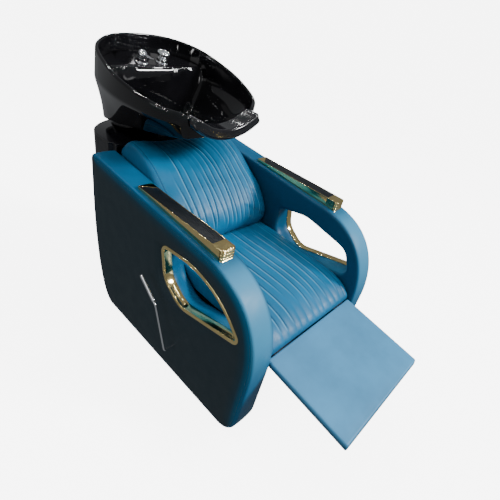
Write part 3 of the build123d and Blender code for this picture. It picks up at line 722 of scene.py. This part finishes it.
def side_wrap(side, name):
    """The padded cover: round the outer edge, over the inner face and flaring into the window."""
    rays = panel_rays()
    window = rounded(WINDOW, WINDOW_RADII, 600)
    inner = rounded(WINDOW_INNER, WINDOW_INNER_RADII, 600)
    hole = on_rays(grown(window, -10), rays)
    flare = on_rays(inner, rays)
    near = on_rays(grown(inner, 16), rays)
    skirt = panel_outline(40)
    rings = [(hole, FACE_BACK), (hole, SLEEVE_IN + 6)]
    for f in np.linspace(0, 1, 8):
        rings.append((hole + (flare - hole) * ease(f), SLEEVE_IN - FLARE * f))
    for turn in (25, 50, 70, 90):
        t = radians(turn)
        depth = SLEEVE_IN - FLARE
        rings.append((flare + (near - flare) * (1 - cos(t)), depth - (depth - PANEL_IN) * sin(t)))
    for f in np.linspace(0.1, 1, 9):
        rings.append((near + (skirt - near) * f, PANEL_IN))
    for inset in (30, 21):
        rings.append((panel_outline(inset), PANEL_IN))
    for turn in (0, 18, 36, 54, 72, 90):
        t = radians(turn)
        rings.append((panel_outline(INNER_ROLL * (1 - sin(t))), PANEL_IN + INNER_ROLL * (1 - cos(t))))
    band_in, band_out = PANEL_IN + INNER_ROLL, PANEL_OUT - 11
    for f in np.linspace(0.1, 0.9, 9):
        rings.append((panel_outline(-1.6 * sin(pi * f)), band_in + (band_out - band_in) * f))
    for turn in (0, 18, 36, 54, 72, 90):
        t = radians(turn)
        rings.append((panel_outline(SEAM * (1 - cos(t))), band_out + (PANEL_OUT - 1.6 - band_out) * sin(t)))
    rings.append((panel_outline(SEAM + 0.5), PANEL_OUT - 2.9))
    rings.append((panel_outline(SEAM + 2), FACE_BACK))
    rings.append((skirt, FACE_BACK))
    loops = [at(loop, x, side) for loop, x in rings]
    made = piece(f"side_cover_{name}", skin(loops, ring=True), f"side_upholstery_{name}")
    co = coordinates(made)
    # Painted shade over the inner face.
    inner_face_shade = ease((PANEL_IN + 20 - np.abs(co[:, 0])) / 20)
    paint(made, "painted_shade", 0.75 * inner_face_shade)
    # Painted highlight on the front of the arm, lightest high up.
    front = ease((-co[:, 1] - 220) / 110) * ease((co[:, 2] - 260) / 240)
    paint(made, "painted_highlight", 0.8 * front * (1 - inner_face_shade))


def side_facing(side, name):
    """The dark outer face, stretched over the flat and dipping into the seam all round."""
    edge = panel_outline()
    rays = panel_rays()
    hole = on_rays(grown(rounded(WINDOW, WINDOW_RADII, 600), -8), rays)
    skirt = panel_outline(70)
    edge_ring = panel_outline(SEAM + 0.6)
    rings = [(edge_ring, FACE_BACK + 0.6, 1.0), (edge_ring, PANEL_OUT - 2.6, 1.0)]
    for inset in (9.9, 10.6, 12, 15, 19, 24, 29, 35, 42, 50, 60, 70):
        t = (inset - SEAM) / (70 - SEAM)
        rings.append((panel_outline(inset), PANEL_OUT + 0.6 - 2.6 * (1 - t) ** 3, (1 - t) ** 1.6))
    for f in (0.12, 0.25, 0.4, 0.55, 0.7, 0.85, 1.0):
        rings.append((skirt + (hole - skirt) * f, PANEL_OUT + 0.6 - 1.2 * ease((f - 0.85) / 0.15), 0.0))
    rings.append((hole, FACE_BACK + 0.6, 0.0))
    loops = [at(loop, x, side) for loop, x, _ in rings]
    made = piece(f"side_face_{name}", skin(loops, ring=True), f"side_facing_{name}")
    run = np.roll(edge, -1, 0) - np.roll(edge, 1, 0)
    out = np.stack([run[:, 1], -run[:, 0]], 1) / np.linalg.norm(run, axis=1)[:, None]
    out *= -1 if out[0][1] < 0 else 1
    # Painted light: edges that face forward and up get the most blue highlight, fading inwards across the
    # face.
    lit = np.clip(out @ np.array([-0.75, 0.66]), 0, 1) ** 0.8
    amount = np.concatenate([lit * share for _, _, share in rings])
    paint(made, "edge", amount)


def thread(name, shape, material):
    dress(mesh_object(name, shape), material, "chassis")


def panel_stitching(side, name):
    loop = panel_outline(SEAM + 5)
    path = at(np.vstack([loop, loop[:1]]), PANEL_OUT - 0.6, side)
    shape = stitches(path, [(side, 0, 0)] * len(path), 4.0, 2.6, 0.5)
    thread(f"panel_stitching_{name}", shape, DARK_THREAD)


def window_trims(side, name):
    """The gold flange and sleeve in three lengths, with hairline joints between them."""
    count = 330
    base = rounded(WINDOW, WINDOW_RADII, count)
    flange = [(0, -0.4), (0, 1.0), (-0.5, 1.9), (-1.6, 2.5), (-5, 2.9), (-9, 2.7), (-11.6, 2.2),
              (-12.7, 1.2), (-13, -1), (-13, -14)]
    profile = [(d, PANEL_OUT + x) for d, x in flange]
    profile += [(-13, SLEEVE_IN + 1), (-12.4, SLEEVE_IN), (-10.4, SLEEVE_IN), (-10, SLEEVE_IN + 1),
                (-10, PANEL_OUT - 20), (-10, PANEL_OUT - 0.4)]
    lines = [grown(base, d) for d, _ in profile]

    def part_of(i):
        y, z = base[i % count]
        if y > -169 and z > 492:
            return "top"
        return "rear" if y > -60 and z <= 492 else "front"

    shapes = []
    starts = [i for i in range(count) if part_of(i) != part_of(i - 1)]
    for start in starts:
        kind = part_of(start)
        stop = start
        while part_of(stop) == kind:
            stop += 1
        loops = []
        for i in range(start, stop + 1):
            section = np.array([(side * x, *loop[i % count]) for loop, (_, x) in zip(lines, profile)])
            loops.append(section)
        loops[0] = loops[0] + 0.08 * (loops[1] - loops[0])
        loops[-1] = loops[-1] + 0.08 * (loops[-2] - loops[-1])
        shapes.append(skin(loops, caps=True))
    piece(f"window_lining_{name}", joined(*shapes), f"window_trim_{name}", 50)


# ---- armrests ----

def armrest_cap(side, name):
    """The rail's stepped nose: three rounded bands down a front with rounded corners."""
    face = [(CAP_REAR, ARM_TOP), (CAP_FRONT + 5, ARM_TOP)]
    face += fillet((CAP_REAR, ARM_TOP), (CAP_FRONT, ARM_TOP), (CAP_FRONT, ARM_TOP - 10), 4, 5)[1:]
    for top in (ARM_TOP - 4, ARM_TOP - 15, ARM_TOP - 26):
        for turn in range(0, 181, 20):
            t = radians(turn)
            face.append((CAP_FRONT + 1.8 - 2.6 * sin(t), top - 5 + 4.6 * cos(t)))
        face.append((CAP_FRONT + 2.8, top - 10.3))
    face += [(CAP_FRONT - 1, ARM_TOP - 40), (CAP_REAR, ARM_TOP - 36)]
    half = (ARM_OUT - ARM_IN) / 2
    centre = (ARM_OUT + ARM_IN) / 2
    corner = 9.0
    loops = []
    for u in half * np.sin(np.linspace(-pi / 2, pi / 2, 41)):
        over = max(0.0, (abs(u) - (half - corner)) / corner)
        back = corner * (1 - sqrt(max(0.0, 1 - over * over)))
        dip = 1.6 * (1 - sqrt(max(0.0, 1 - max(0.0, (abs(u) - (half - 2.4)) / 2.4) ** 2)))
        loops.append([(side * (centre + u), y + back * ease((CAP_FRONT + 30 - y) / 30),
                       z - dip * ease((z - ARM_TOP + 8) / 8)) for y, z in face])
    piece(f"armrest_nose_{name}", skin(loops, caps=True), f"armrest_front_cap_{name}", 50)


# ---- cushions ----

def block_cushion(section, half, corner, stations):
    """A closed cushion: the (Y, Z) section carried across X, its ends rolled in."""
    loops = []
    for u in stations:
        over = max(0.0, (abs(u) - (half - corner)) / corner)
        inset = corner * (1 - sqrt(max(0.0, 1 - over * over)))
        loops.append([(u, y, z) for y, z in grown(section, -inset)])
    return skin(loops, caps=True)


def stations(half, corner, count):
    """Places across a cushion, closer together over its rolled ends."""
    inner = list(np.linspace(-(half - corner), half - corner, count))
    rolled = [half - corner + corner * sin(radians(t)) for t in (12, 24, 36, 48, 60, 72, 82, 90)]
    return [-x for x in reversed(rolled)] + inner + rolled


def pleats(seed, centres, sway, depth, shift=5.0):
    """Sewn folds as (start place, lean, sway, phase, depth, where it begins, where it ends)."""
    draw = random.Random(seed)
    return [(c + draw.uniform(-shift, shift), draw.uniform(-sway, sway), draw.uniform(1.5, 4.5),
             draw.uniform(0, 2 * pi), depth * draw.uniform(0.6, 1.25), draw.uniform(-0.1, 0.22),
             draw.uniform(0.78, 1.15)) for c in centres]


def fold_cover(made, folds, along, mask, puff):
    """Press the folds into a cover: a soft ridge beside a tight crease, with fullness between folds; also
    gives where to paint highlight on the ridges and shade in the creases.
    """
    co = coordinates(made)
    out = normals(made)
    x = co[:, 0]
    lines = []
    push = np.zeros(len(co))
    painted_highlight = np.zeros(len(co))
    painted_shade = np.zeros(len(co))
    for place, lean, sway, phase, depth, first, last in folds:
        line_x = place + lean * (along - 0.5) + sway * np.sin(2.2 * pi * along + phase)
        lines.append(line_x)
        strength = ease((along - first) / 0.22) * ease((last - along) / 0.25)
        u = x - line_x
        up = np.exp(-((u + 4.0) / 3.6) ** 2)
        down = np.exp(-((u - 1.2) / 2.4) ** 2)
        push += depth * strength * (0.75 * up - down)
        # Painted highlight along each ridge and painted shade along each crease.
        painted_highlight = np.maximum(painted_highlight, strength * np.exp(-((u + 4.2) / 2.4) ** 2))
        painted_shade = np.maximum(painted_shade, strength * np.exp(-((u - 1.4) / 2.6) ** 2))
    order = np.sort(np.array(lines), axis=0)
    for low, high in zip(order, order[1:]):
        inside = (x >= low) & (x < high)
        f = np.where(inside, (x - low) / np.maximum(high - low, 1), 0)
        push += np.where(inside, puff * np.sin(pi * f), 0)
    move_to(made, co + out * (push * mask)[:, None])
    return painted_highlight * mask, painted_shade * mask


def sewn(made, folds, along, mask, seam_x, seam_mask, dent):
    """Fold the cover, paint highlight on its fold ridges and press in its side seams; gives the new points
    and how much painted shade each one takes in the creases and seams.
    """
    painted_highlight, painted_shade = fold_cover(made, folds, along, mask, 1.8)
    co = coordinates(made)
    seam = np.exp(-((np.abs(co[:, 0]) - seam_x) / 2.2) ** 2) * seam_mask(co)
    move_to(made, co - normals(made) * (dent * seam)[:, None])
    paint(made, "painted_highlight", 0.75 * painted_highlight)
    # Painted shade in the creases and along the seam dents.
    return co, 0.8 * painted_shade + 0.6 * seam


def seat_cushion():
    top = spline(SEAT_TOP, 20)
    under = SEAT_UNDER
    section = even([tuple(p) for p in top] + under, 150)
    corner = 13.0
    half = SEAT_HALF - 0.5
    shape = block_cushion(grown(section, -1.5), half, corner, stations(half, corner, 92))
    made = piece("seat_pad", shape, "seat_cushion")
    co = coordinates(made)
    free = ease((co[:, 2] - 368) / 30) * ease((SEAT_HALF - 4 - np.abs(co[:, 0])) / 14)
    inflate(made, free, 9.0)
    subdivide(made)
    co = coordinates(made)
    along = np.clip((60 - co[:, 1]) / 500, 0, 1) + np.clip((400 - co[:, 2]) / 160, 0, 0.3)
    mask = ease((SEAT_HALF - 34 - np.abs(co[:, 0])) / 12) * ease((co[:, 2] - 358) / 12)
    folds = pleats(7, np.linspace(-188, 188, 12), 10.0, 2.6)
    co, painted_shade = sewn(made, folds, along, mask, SEAT_HALF - 27, lambda co: ease((co[:, 2] - 365) / 10), 1.3)
    # Painted shade in the creases and seams, and darker still along the seat's underside.
    paint(made, "painted_shade", np.clip(painted_shade + 0.5 * ease((372 - co[:, 2]) / 12), 0, 1))
    return made


def above_back_board(co):
    return co[:, 2] - BACK_BOARD[1] - (co[:, 1] - BACK_BOARD[0]) * BACK_SLOPE


def back_cushion():
    front = spline(BACK_FRONT + BACK_CROWN, 14)
    section = even([tuple(p) for p in front] + BACK_REAR, 170)
    corner = 26.0
    half = SEAT_HALF - 0.5
    shape = block_cushion(grown(section, -3), half, corner, stations(half, corner, 84))
    made = piece("back_pad", shape, "back_cushion")
    co = coordinates(made)
    high = ease((co[:, 2] - 590) / 150)
    over = np.clip((np.abs(co[:, 0]) - (half - 58)) / 58, 0, 1)
    co[:, 2] -= high * 40 * (1 - np.sqrt(1 - over ** 2))
    dip = SADDLE_LOW + SADDLE_R - np.sqrt(SADDLE_R ** 2 - co[:, 0] ** 2)
    soft = 9.0
    gap = (co[:, 2] - dip) / soft
    co[:, 2] -= soft * np.log1p(np.exp(np.clip(gap, -30, 30))) * ease((co[:, 2] - 640) / 40)
    move_to(made, co)
    facing_front = above_back_board(co)
    free = ease((facing_front - 22) / 30) * ease((half - 2 - np.abs(co[:, 0])) / 16)
    inflate(made, free, 10.0)
    subdivide(made)
    co = coordinates(made)
    along = 1 - np.clip((co[:, 2] - 434) / 300, 0, 1)
    facing_front = above_back_board(co)
    mask = ease((half - 36 - np.abs(co[:, 0])) / 12) * ease((facing_front - 16) / 26)
    mask *= ease((co[:, 2] - 470) / 60)
    folds = pleats(19, [-158, -126, -98, -66, -44, -14, 8, 38, 60, 86, 108, 136, 160, 188], 13.0, 2.9)
    seam_x = half - 30
    co, painted_shade = sewn(made, folds, along, mask, seam_x, lambda co: ease((facing_front - 10) / 20), 1.4)
    # Painted shade: creases and seams, darker towards the bottom and over the side borders.
    low = ease((520 - co[:, 2]) / 90)
    side_shade = ease((np.abs(co[:, 0]) - seam_x) / 18)
    paint(made, "painted_shade", np.clip(painted_shade + 0.35 * low + 0.45 * side_shade, 0, 1))
    return made


def surface_path(made, x, choose, keep_order):
    """Points on a cushion's surface at one X, in order, with their outward directions."""
    co = coordinates(made)
    out = normals(made)
    near = (np.abs(co[:, 0] - x) < 2.6) & choose(co, out)
    co, out = co[near], out[near]
    order = np.argsort(keep_order(co))
    co, out = co[order], out[order]
    bins = np.arange(0, len(co), 3)
    path = np.array([co[i:i + 3].mean(0) for i in bins])
    lift = np.array([out[i:i + 3].mean(0) for i in bins])
    for _ in range(3):
        path[1:-1] = (path[:-2] + 2 * path[1:-1] + path[2:]) / 4
    path[:, 0] = x
    return path, lift


def seam_thread(name, cushion, insets, choose, order):
    """Twin rows of thread beside each side seam of a cushion."""
    places = [side * (SEAT_HALF - inset) for side in (-1, 1) for inset in insets]
    rows = [stitches(*surface_path(cushion, x, choose, order), 3.8, 2.6, 0.5) for x in places]
    thread(name, joined(*rows), THREAD)


def under_foot(along, down):
    c, s = cos(radians(FOOT_SLOPE)), sin(radians(FOOT_SLOPE))
    return (FOOT_REAR[0] - along * c - down * s, FOOT_REAR[1] - along * s - down * c)


def below_foot_top(co):
    c, s = cos(radians(FOOT_SLOPE)), sin(radians(FOOT_SLOPE))
    return (FOOT_REAR[1] - co[:, 2]) * c - (FOOT_REAR[0] - co[:, 1]) * s


def footrest_cushion():
    """A thin padded panel, covered all round over its board."""
    start = -3.0
    corners = [under_foot(start, 0), under_foot(FOOT_LENGTH, 0), under_foot(FOOT_LENGTH, FOOT_THICK),
               under_foot(start, FOOT_THICK)]
    section = rounded(corners, [4, 7, 5, 3], 230)
    corner = 8.0
    shape = block_cushion(section, FOOT_HALF, corner, stations(FOOT_HALF, corner, 90))
    made = piece("footrest_pad", shape, "footrest_cushion")
    c, s = cos(radians(FOOT_SLOPE)), sin(radians(FOOT_SLOPE))
    co = coordinates(made)
    run = (FOOT_REAR[0] - co[:, 1]) * c + (FOOT_REAR[1] - co[:, 2]) * s
    top = ease((9 - below_foot_top(co)) / 7)
    room = np.minimum.reduce([FOOT_HALF - np.abs(co[:, 0]), run - start, FOOT_LENGTH - run])
    inflate(made, top * ease((room - 3) / 14), 3.0)
    subdivide(made)
    co = coordinates(made)
    # Painted shade over the sides and underside, below the padded top; no painted highlight.
    paint(made, "painted_shade", ease((below_foot_top(co) - 5) / 8) * 0.9)
    paint(made, "painted_highlight", np.zeros(len(co)))


# ---- basin ----

def basin_outline(start, front_half, widest_at, half, length, fullness):
    rear = length - widest_at
    run = widest_at - start
    right = [(front_half, start), (front_half + 0.62 * (half - front_half), start + 0.24 * run),
             (front_half + 0.93 * (half - front_half), start + 0.62 * run), (half, widest_at)]
    for turn in (28, 50, 70):
        t = radians(turn)
        right.append((half * cos(t) ** (2 / fullness), widest_at + rear * sin(t) ** (2 / fullness)))
    curve = spline(right + [(0, length)] + [(-x, y) for x, y in reversed(right)], 14)
    front = even([(-front_half, start), (front_half, start)], 40, closed=False)
    curve = even([tuple(p) for p in curve], 200, closed=False)
    loop = np.vstack([front, curve[1:-1]])
    for _ in range(5):
        loop = (np.roll(loop, 1, 0) + 2 * loop + np.roll(loop, -1, 0)) / 4
    return loop


def lay(loop, y, z, slope):
    """A flat loop laid on a plane that climbs towards the rear."""
    c = 1 / hypot(1, slope)
    return np.stack([loop[:, 0], y + loop[:, 1] * c, z + loop[:, 1] * c * slope], 1)


def basin_loops(wall):
    rise = wall + 2 if wall else 0
    lift = 2 if wall else 0
    rim = lay(basin_outline(wall, 150 - wall, 290, 273 - wall, RIM_LENGTH - wall, 2.35),
              RIM_FRONT[0] - lift * RIM_SIN, RIM_FRONT[1] + lift * RIM_COS, RIM_SLOPE)
    belly = lay(basin_outline(wall, 150 - wall, 320, 266 - wall, 560 - wall, 2.45), 144, 866, 0.075)
    chine = lay(basin_outline(wall, 150 - wall, 425, 196 - wall, 576 - wall, 3.0), 142, 822 + rise, -0.1855)
    heel = lay(basin_outline(wall, 92 - wall, 70, 139 - wall, 120 - wall, 3.2), 590, 706 + rise, 0)
    return rim, belly, chine, heel


def notch_height(x):
    return NECK_Z - np.sqrt(np.maximum(NECK_R ** 2 - x ** 2, 0.0))


def soft_min(a, b, k):
    h = np.clip(0.5 + 0.5 * (b - a) / k, 0, 1)
    return b + (a - b) * h - k * h * (1 - h)


def deck_height(y):
    """The rear deck: a steep front wall and a top that follows the rim."""
    spot = deck_plane(0)[0]
    edge = spot[2] - (spot[1] - DECK_FRONT) * RIM_SLOPE
    wall = 690 + (y - DECK_FOOT) * (edge - 690) / (DECK_FRONT - DECK_FOOT)
    top = edge + (y - DECK_FRONT) * RIM_SLOPE
    return soft_min(wall, top, 30.0)


def basin():
    """The glazed shell: outside, rolled rim, bowl, and the deck behind it for the taps."""
    outer_rim, outer_belly, outer_chine, outer_heel = basin_loops(0)
    inner_rim, inner_belly, inner_chine, inner_heel = basin_loops(WALL)
    up = np.array([0, -RIM_SIN, RIM_COS])

    def notched(loop, below):
        loop = loop.copy()
        limit = notch_height(loop[:, 0]) - below
        front = loop[:, 1] < 200
        loop[front, 2] = soft_min(loop[front, 2], limit[front], 8.0)
        return loop

    def between(a, b, shares):
        return [a + (b - a) * f for f in shares]

    def bend(a, b, c, before, after):
        start, stop = b + (a - b) * before, b + (c - b) * after
        return [start * (1 - f) ** 2 + b * 2 * f * (1 - f) + stop * f * f for f in (0, 0.25, 0.5, 0.75, 1)]

    outer_belly, inner_belly = notched(outer_belly, 9), notched(inner_belly, 9)

    roll = WALL / 2
    middle = (outer_rim + inner_rim) / 2 - up * roll
    across = (outer_rim - inner_rim) / 2
    rim = []
    for turn in range(0, 181, 18):
        t = radians(turn)
        rim.append(notched(middle + across * cos(t) + up * roll * sin(t), roll * (1 - sin(t))))
    outside = between(rim[0], outer_belly, np.linspace(0.03, 0.86, 14))
    outside += bend(rim[0], outer_belly, outer_chine, 0.1, 0.1)
    outside += between(outer_belly, outer_chine, np.linspace(0.14, 0.9, 14))
    outside += bend(outer_belly, outer_chine, outer_heel, 0.07, 0.03)
    outside += between(outer_chine, outer_heel, np.linspace(0.045, 1, 50))
    foot = outer_heel * [0.93, 1, 1] + [0, 0, -1.0]
    foot[:, 1] = 650 + (outer_heel[:, 1] - 650) * 0.9
    closing = [foot + ([0.0, 650.0, foot[0][2]] - foot) * f for f in (0.25, 0.5, 0.75, 0.97)]
    outside_loops = outside + [foot] + closing
    inside = between(rim[-1], inner_belly, np.linspace(0.03, 0.84, 16))
    inside += bend(rim[-1], inner_belly, inner_chine, 0.12, 0.12)
    inside += between(inner_belly, inner_chine, np.linspace(0.16, 0.84, 16))
    inside += bend(inner_belly, inner_chine, inner_heel, 0.12, 0.03)
    inside += between(inner_chine, inner_heel, np.linspace(0.04, 1, 90))
    middle_heel = np.array([0.0, 650.0, inner_heel[0][2]])
    inside += [inner_heel + (middle_heel - inner_heel) * f for f in (0.2, 0.4, 0.6, 0.8, 0.97)]
    raised = []
    for loop in inside:
        loop = loop.copy()
        loop[:, 2] = -soft_min(-loop[:, 2], -deck_height(loop[:, 1]), 16.0)
        raised.append(loop)
    loops = list(reversed(outside_loops)) + rim + raised
    piece("basin_bowl", skin(loops, caps=True), "basin")


def neck_rest():
    """A soft gel saddle: a lip over the notch and an apron down the front."""
    corners = [(NECK_R - 13, 103), (NECK_R - 13, 173), (NECK_R - 0.2, 173), (NECK_R - 0.2, 141.3),
               (NECK_R + 26, 141.3), (NECK_R + 26, 103)]
    section = rounded(corners, [7, 6, 3, 3, 6, 9], 72)
    loops = []
    reach = radians(39)
    for turn in np.linspace(-reach, reach, 61):
        end = ease((abs(turn) - radians(35.5)) / radians(3.5)) * 0.45
        centre = np.array([NECK_R, 138.0])
        ring = centre + (section - centre) * (1 - end)
        loops.append([(r * sin(turn), y, min(NECK_Z - r * cos(turn), 897.5)) for r, y in ring])
    piece("neck_saddle", skin(loops, caps=True), "neck_rest")


def deck_plane(x):
    """Origin and axes on the basin's rear deck."""
    y = RIM_FRONT[0] + DECK_SPOT * RIM_COS + DECK_DROP * RIM_SIN
    z = RIM_FRONT[1] + DECK_SPOT * RIM_SIN - DECK_DROP * RIM_COS
    return (np.array([x, y, z]), np.array([1.0, 0, 0]), np.array([0, RIM_COS, RIM_SIN]),
            np.array([0, -RIM_SIN, RIM_COS]))


def taps():
    plane = deck_plane(MIXER_X)
    body = turned([(0.1, -39), (9.5, -39), (9.5, -0.5), (27, -0.5), (27, 3.4), (21, 5), (20, 8), (20, 19.8),
                   (0.1, 19.8)], 1.2)
    piece("mixer_base", lathe(body, plane), "mixer_body", 50)
    cap = turned([(0.1, 20.2), (19.2, 20.2), (20, 21), (20, 27.2), (19.2, 28), (0.1, 28)], 0.8)
    piece("mixer_collar", lathe(cap, plane), "mixer_cap", 50)
    origin, ax, ay, az = plane
    dome = [(20 * cos(radians(t)), 28.3 + 20 * sin(radians(t))) for t in range(0, 90, 6)] + [(0.1, 48.3)]
    loops = []
    for f in np.linspace(0, 1, 25):
        along = -8 - 61 * f
        half = 8.2 - 1.2 * cos(2 * pi * f) + 1.2 * f
        thick = 3.3 - 1.1 * f
        if f > 0.93:
            half *= sqrt(max(0.05, 1 - ((f - 0.93) / 0.07) ** 2))
            thick *= sqrt(max(0.15, 1 - ((f - 0.93) / 0.07) ** 2))
        height = 37.5 + 9 * f ** 1.4
        turns = [2 * pi * k / 24 for k in range(24)]
        loops.append([origin + ax * half * np.sign(cos(t)) * abs(cos(t)) ** 0.6 + ay * along
                      + az * (height + thick * np.sign(sin(t)) * abs(sin(t)) ** 0.6) for t in turns])
    points, faces = lathe([(0.1, 28.3)] + dome, plane, 48)
    points = [p - ay * max(0.0, (p - origin) @ ay - BARREL[0]) for p in points]
    pin = [origin + ax * x + ay * BARREL[0] + az * BARREL[1] for x in (-9, -8.4, 0, 8.4, 9)]
    shape = joined((points, faces), tube(pin, [2.4, 3, 3, 3, 2.4]), skin(loops, caps=True))
    piece("mixer_handle_blade", shape, "mixer_lever", 50)


def hand_shower():
    plane = deck_plane(SHOWER_X)
    holder = turned([(13, -20), (16, -20), (16, -0.5), (26, -0.5), (26, 3.2), (20.8, 4.6), (20, 7), (20, 15),
                     (19, 16), (14, 16), (13, 15), (13, -19.9)], 1.0)
    origin, ax, ay, az = plane
    piece("shower_socket", lathe(holder, plane, hollow=True), "shower_holder", 50)
    body = turned([(0.1, -64), (10.5, -64), (12.4, -60), (12.4, 16), (14, 22), (22, 27), (25, 31), (25, 40),
                   (23.4, 42), (21.5, 42), (21, 41.2), (0.1, 41.2)], 2.0)
    nozzle = [(0.1, 41), (1.2, 41), (1.1, 42.2), (0.6, 42.6), (0.1, 42.6)]
    parts = [lathe(body, plane)]
    for ring, count in ((0, 1), (6.5, 6), (13, 12), (18, 18)):
        for k in range(count):
            t = 2 * pi * k / count
            spot = origin + ring * (cos(t) * ax + sin(t) * ay)
            parts.append(lathe(nozzle, (spot, ax, ay, az), 10))
    piece("shower_handset", joined(*parts), "hand_shower", 50)


# ---- lever ----

def lever():
    """A bent chrome rod from the panel, and the flattened grip on its end."""
    y, z = SHAFT
    end_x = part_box("lever_arm")[1].x / MM
    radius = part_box("lever_arm")[0].x / MM * -1 + LEVER_X
    bend = fillet((end_x, 0), (LEVER_X, 0), (LEVER_X, 200), 7, 8)
    up = unit(SHAFT, LEVER_KINK)
    path = [(end_x, y, z)] + [(x, y + up[0] * s, z + up[1] * s) for x, s in bend]
    arm = fillet(SHAFT, LEVER_KINK, LEVER_END, 30, 10)
    path += [(LEVER_X, *p) for p in line((path[-1][1], path[-1][2]), arm[0], 12)[1:]]
    path += [(LEVER_X, *p) for p in arm]

    def beyond_kink(share):
        return np.add(LEVER_KINK, np.subtract(LEVER_END, LEVER_KINK) * share)

    path.append((LEVER_X, *beyond_kink(0.4)))
    piece("lever_rod", tube(path, [radius] * len(path), 24), "lever_arm", 60)
    start, stop = beyond_kink(0.10), beyond_kink(0.99)
    path, radii = [], []
    for f in np.linspace(0, 1, 41):
        path.append((LEVER_X, *(start + (stop - start) * f)))
        ends = min(1.0, sqrt(max(0.0, 1 - max(0.0, (0.06 - f) / 0.06) ** 2)),
                   sqrt(max(0.0, 1 - max(0.0, (f - 0.94) / 0.06) ** 2)))
        radii.append(0.6 + (6.4 + 1.0 * f) * ends)
    piece("lever_handle", tube(path, radii, 28, [0.8] * len(path)), "lever_grip", 60)


# ---- studio ----

def camera():
    data = bpy.data.cameras.new("camera")
    data.lens = CAMERA_LENS
    data.sensor_width = 36
    made = placed("camera", data)
    azimuth, tilt, roll = (radians(angle) for angle in CAMERA_TURN)
    forward = Vector((sin(azimuth) * cos(tilt), cos(azimuth) * cos(tilt), -sin(tilt)))
    level = Vector((cos(azimuth), -sin(azimuth), 0))
    right = level * cos(roll) + level.cross(forward) * sin(roll)
    turn = Matrix((right, right.cross(forward), -forward)).transposed().to_4x4()
    made.matrix_world = Matrix.Translation(CAMERA_PLACE) @ turn
    bpy.context.scene.camera = made


def softbox(name, place, target, size, power, colour=(1, 1, 1)):
    data = bpy.data.lights.new(name, "AREA")
    data.shape = "RECTANGLE"
    data.size, data.size_y = size
    data.energy = power
    data.color = colour
    made = placed(name, data)
    made.location = place
    made.rotation_euler = (Vector(target) - Vector(place)).to_track_quat("-Z", "Y").to_euler()


def overhead():
    """A broad, soft light from straight above, even over the whole floor."""
    data = bpy.data.lights.new("top_light", "SUN")
    data.energy = 3.3
    data.angle = radians(12)
    made = placed("top_light", data)
    made.location = (1.5, -2.0, 1.6)
    made.rotation_euler = (-made.location).to_track_quat("-Z", "Y").to_euler()


def studio():
    mesh = bpy.data.meshes.new("floor")
    rings = [(0.01, -0.001), (4.0, -0.001), (12.0, -0.001), (16.0, 0.15), (24.0, 1.0), (60.0, 7.0)]
    turns = [2 * pi * k / 96 for k in range(96)]
    points, faces = skin([[(r * cos(t), r * sin(t), z) for t in turns] for r, z in rings])
    mesh.from_pydata(points, [], faces)
    mesh.shade_smooth()
    floor = placed("floor", mesh)
    s = Shader("studio_floor", (0.9, 0.9, 0.9), 0.8, Specular_IOR_Level=0.1, Emission_Color=(1, 1, 1, 1),
               Emission_Strength=6.0)
    s.colour(s.ramp(s.noise(1.5, 3.0), (0.3, (0.88, 0.88, 0.88)), (0.7, (0.92, 0.92, 0.92))))
    floor.visible_diffuse = False
    floor.visible_glossy = False
    mesh.materials.append(s.material)
    world = bpy.data.worlds.new("studio")
    bpy.context.scene.world = world
    world.use_nodes = True
    world.node_tree.nodes["Background"].inputs["Color"].default_value = (0.93, 0.96, 1.0, 1)
    world.node_tree.nodes["Background"].inputs["Strength"].default_value = 0.22
    overhead()
    softbox("front_light", (0.9, -2.6, 2.3), (0, -0.1, 0.4), (1.0, 0.8), 16)
    softbox("side_light", (-2.6, -0.6, 1.5), (0, 0, 0.5), (1.6, 1.2), 10)
    for x in (-1.5, -0.5, 0.5, 1.5):
        for y in (-1.4, -0.2, 1.0, 2.2):
            softbox("ceiling_lamp", (x, y, 3.0), (x, y, 0), (0.09, 0.09), 5)


finish_nodes()
camera()
studio()
for panel_side, panel_name in ((-1, "right"), (1, "left")):
    side_wrap(panel_side, panel_name)
    side_facing(panel_side, panel_name)
    panel_stitching(panel_side, panel_name)
    window_trims(panel_side, panel_name)
    armrest_cap(panel_side, panel_name)
    eased(f"armrest_rail_{panel_name}", 0.9)
    eased(f"armrest_pad_{panel_name}", 1.2)
seat_piece = seat_cushion()
back_piece = back_cushion()
seam_thread("seat_stitching", seat_piece, (23.0, 31.0),
            lambda co, out: (out[:, 2] > -0.2) & (co[:, 2] > 380),
            lambda co: -co[:, 1])
seam_thread("back_stitching", back_piece, (26.5, 34.5),
            lambda co, out: (out[:, 1] < 0.35) & (co[:, 2] > 470),
            lambda co: co[:, 2] + 0.6 * co[:, 1])
footrest_cushion()
basin()
neck_rest()
taps()
hand_shower()
lever()
eased("housing_top", 1.6)
eased("service_hatch", 1.0)
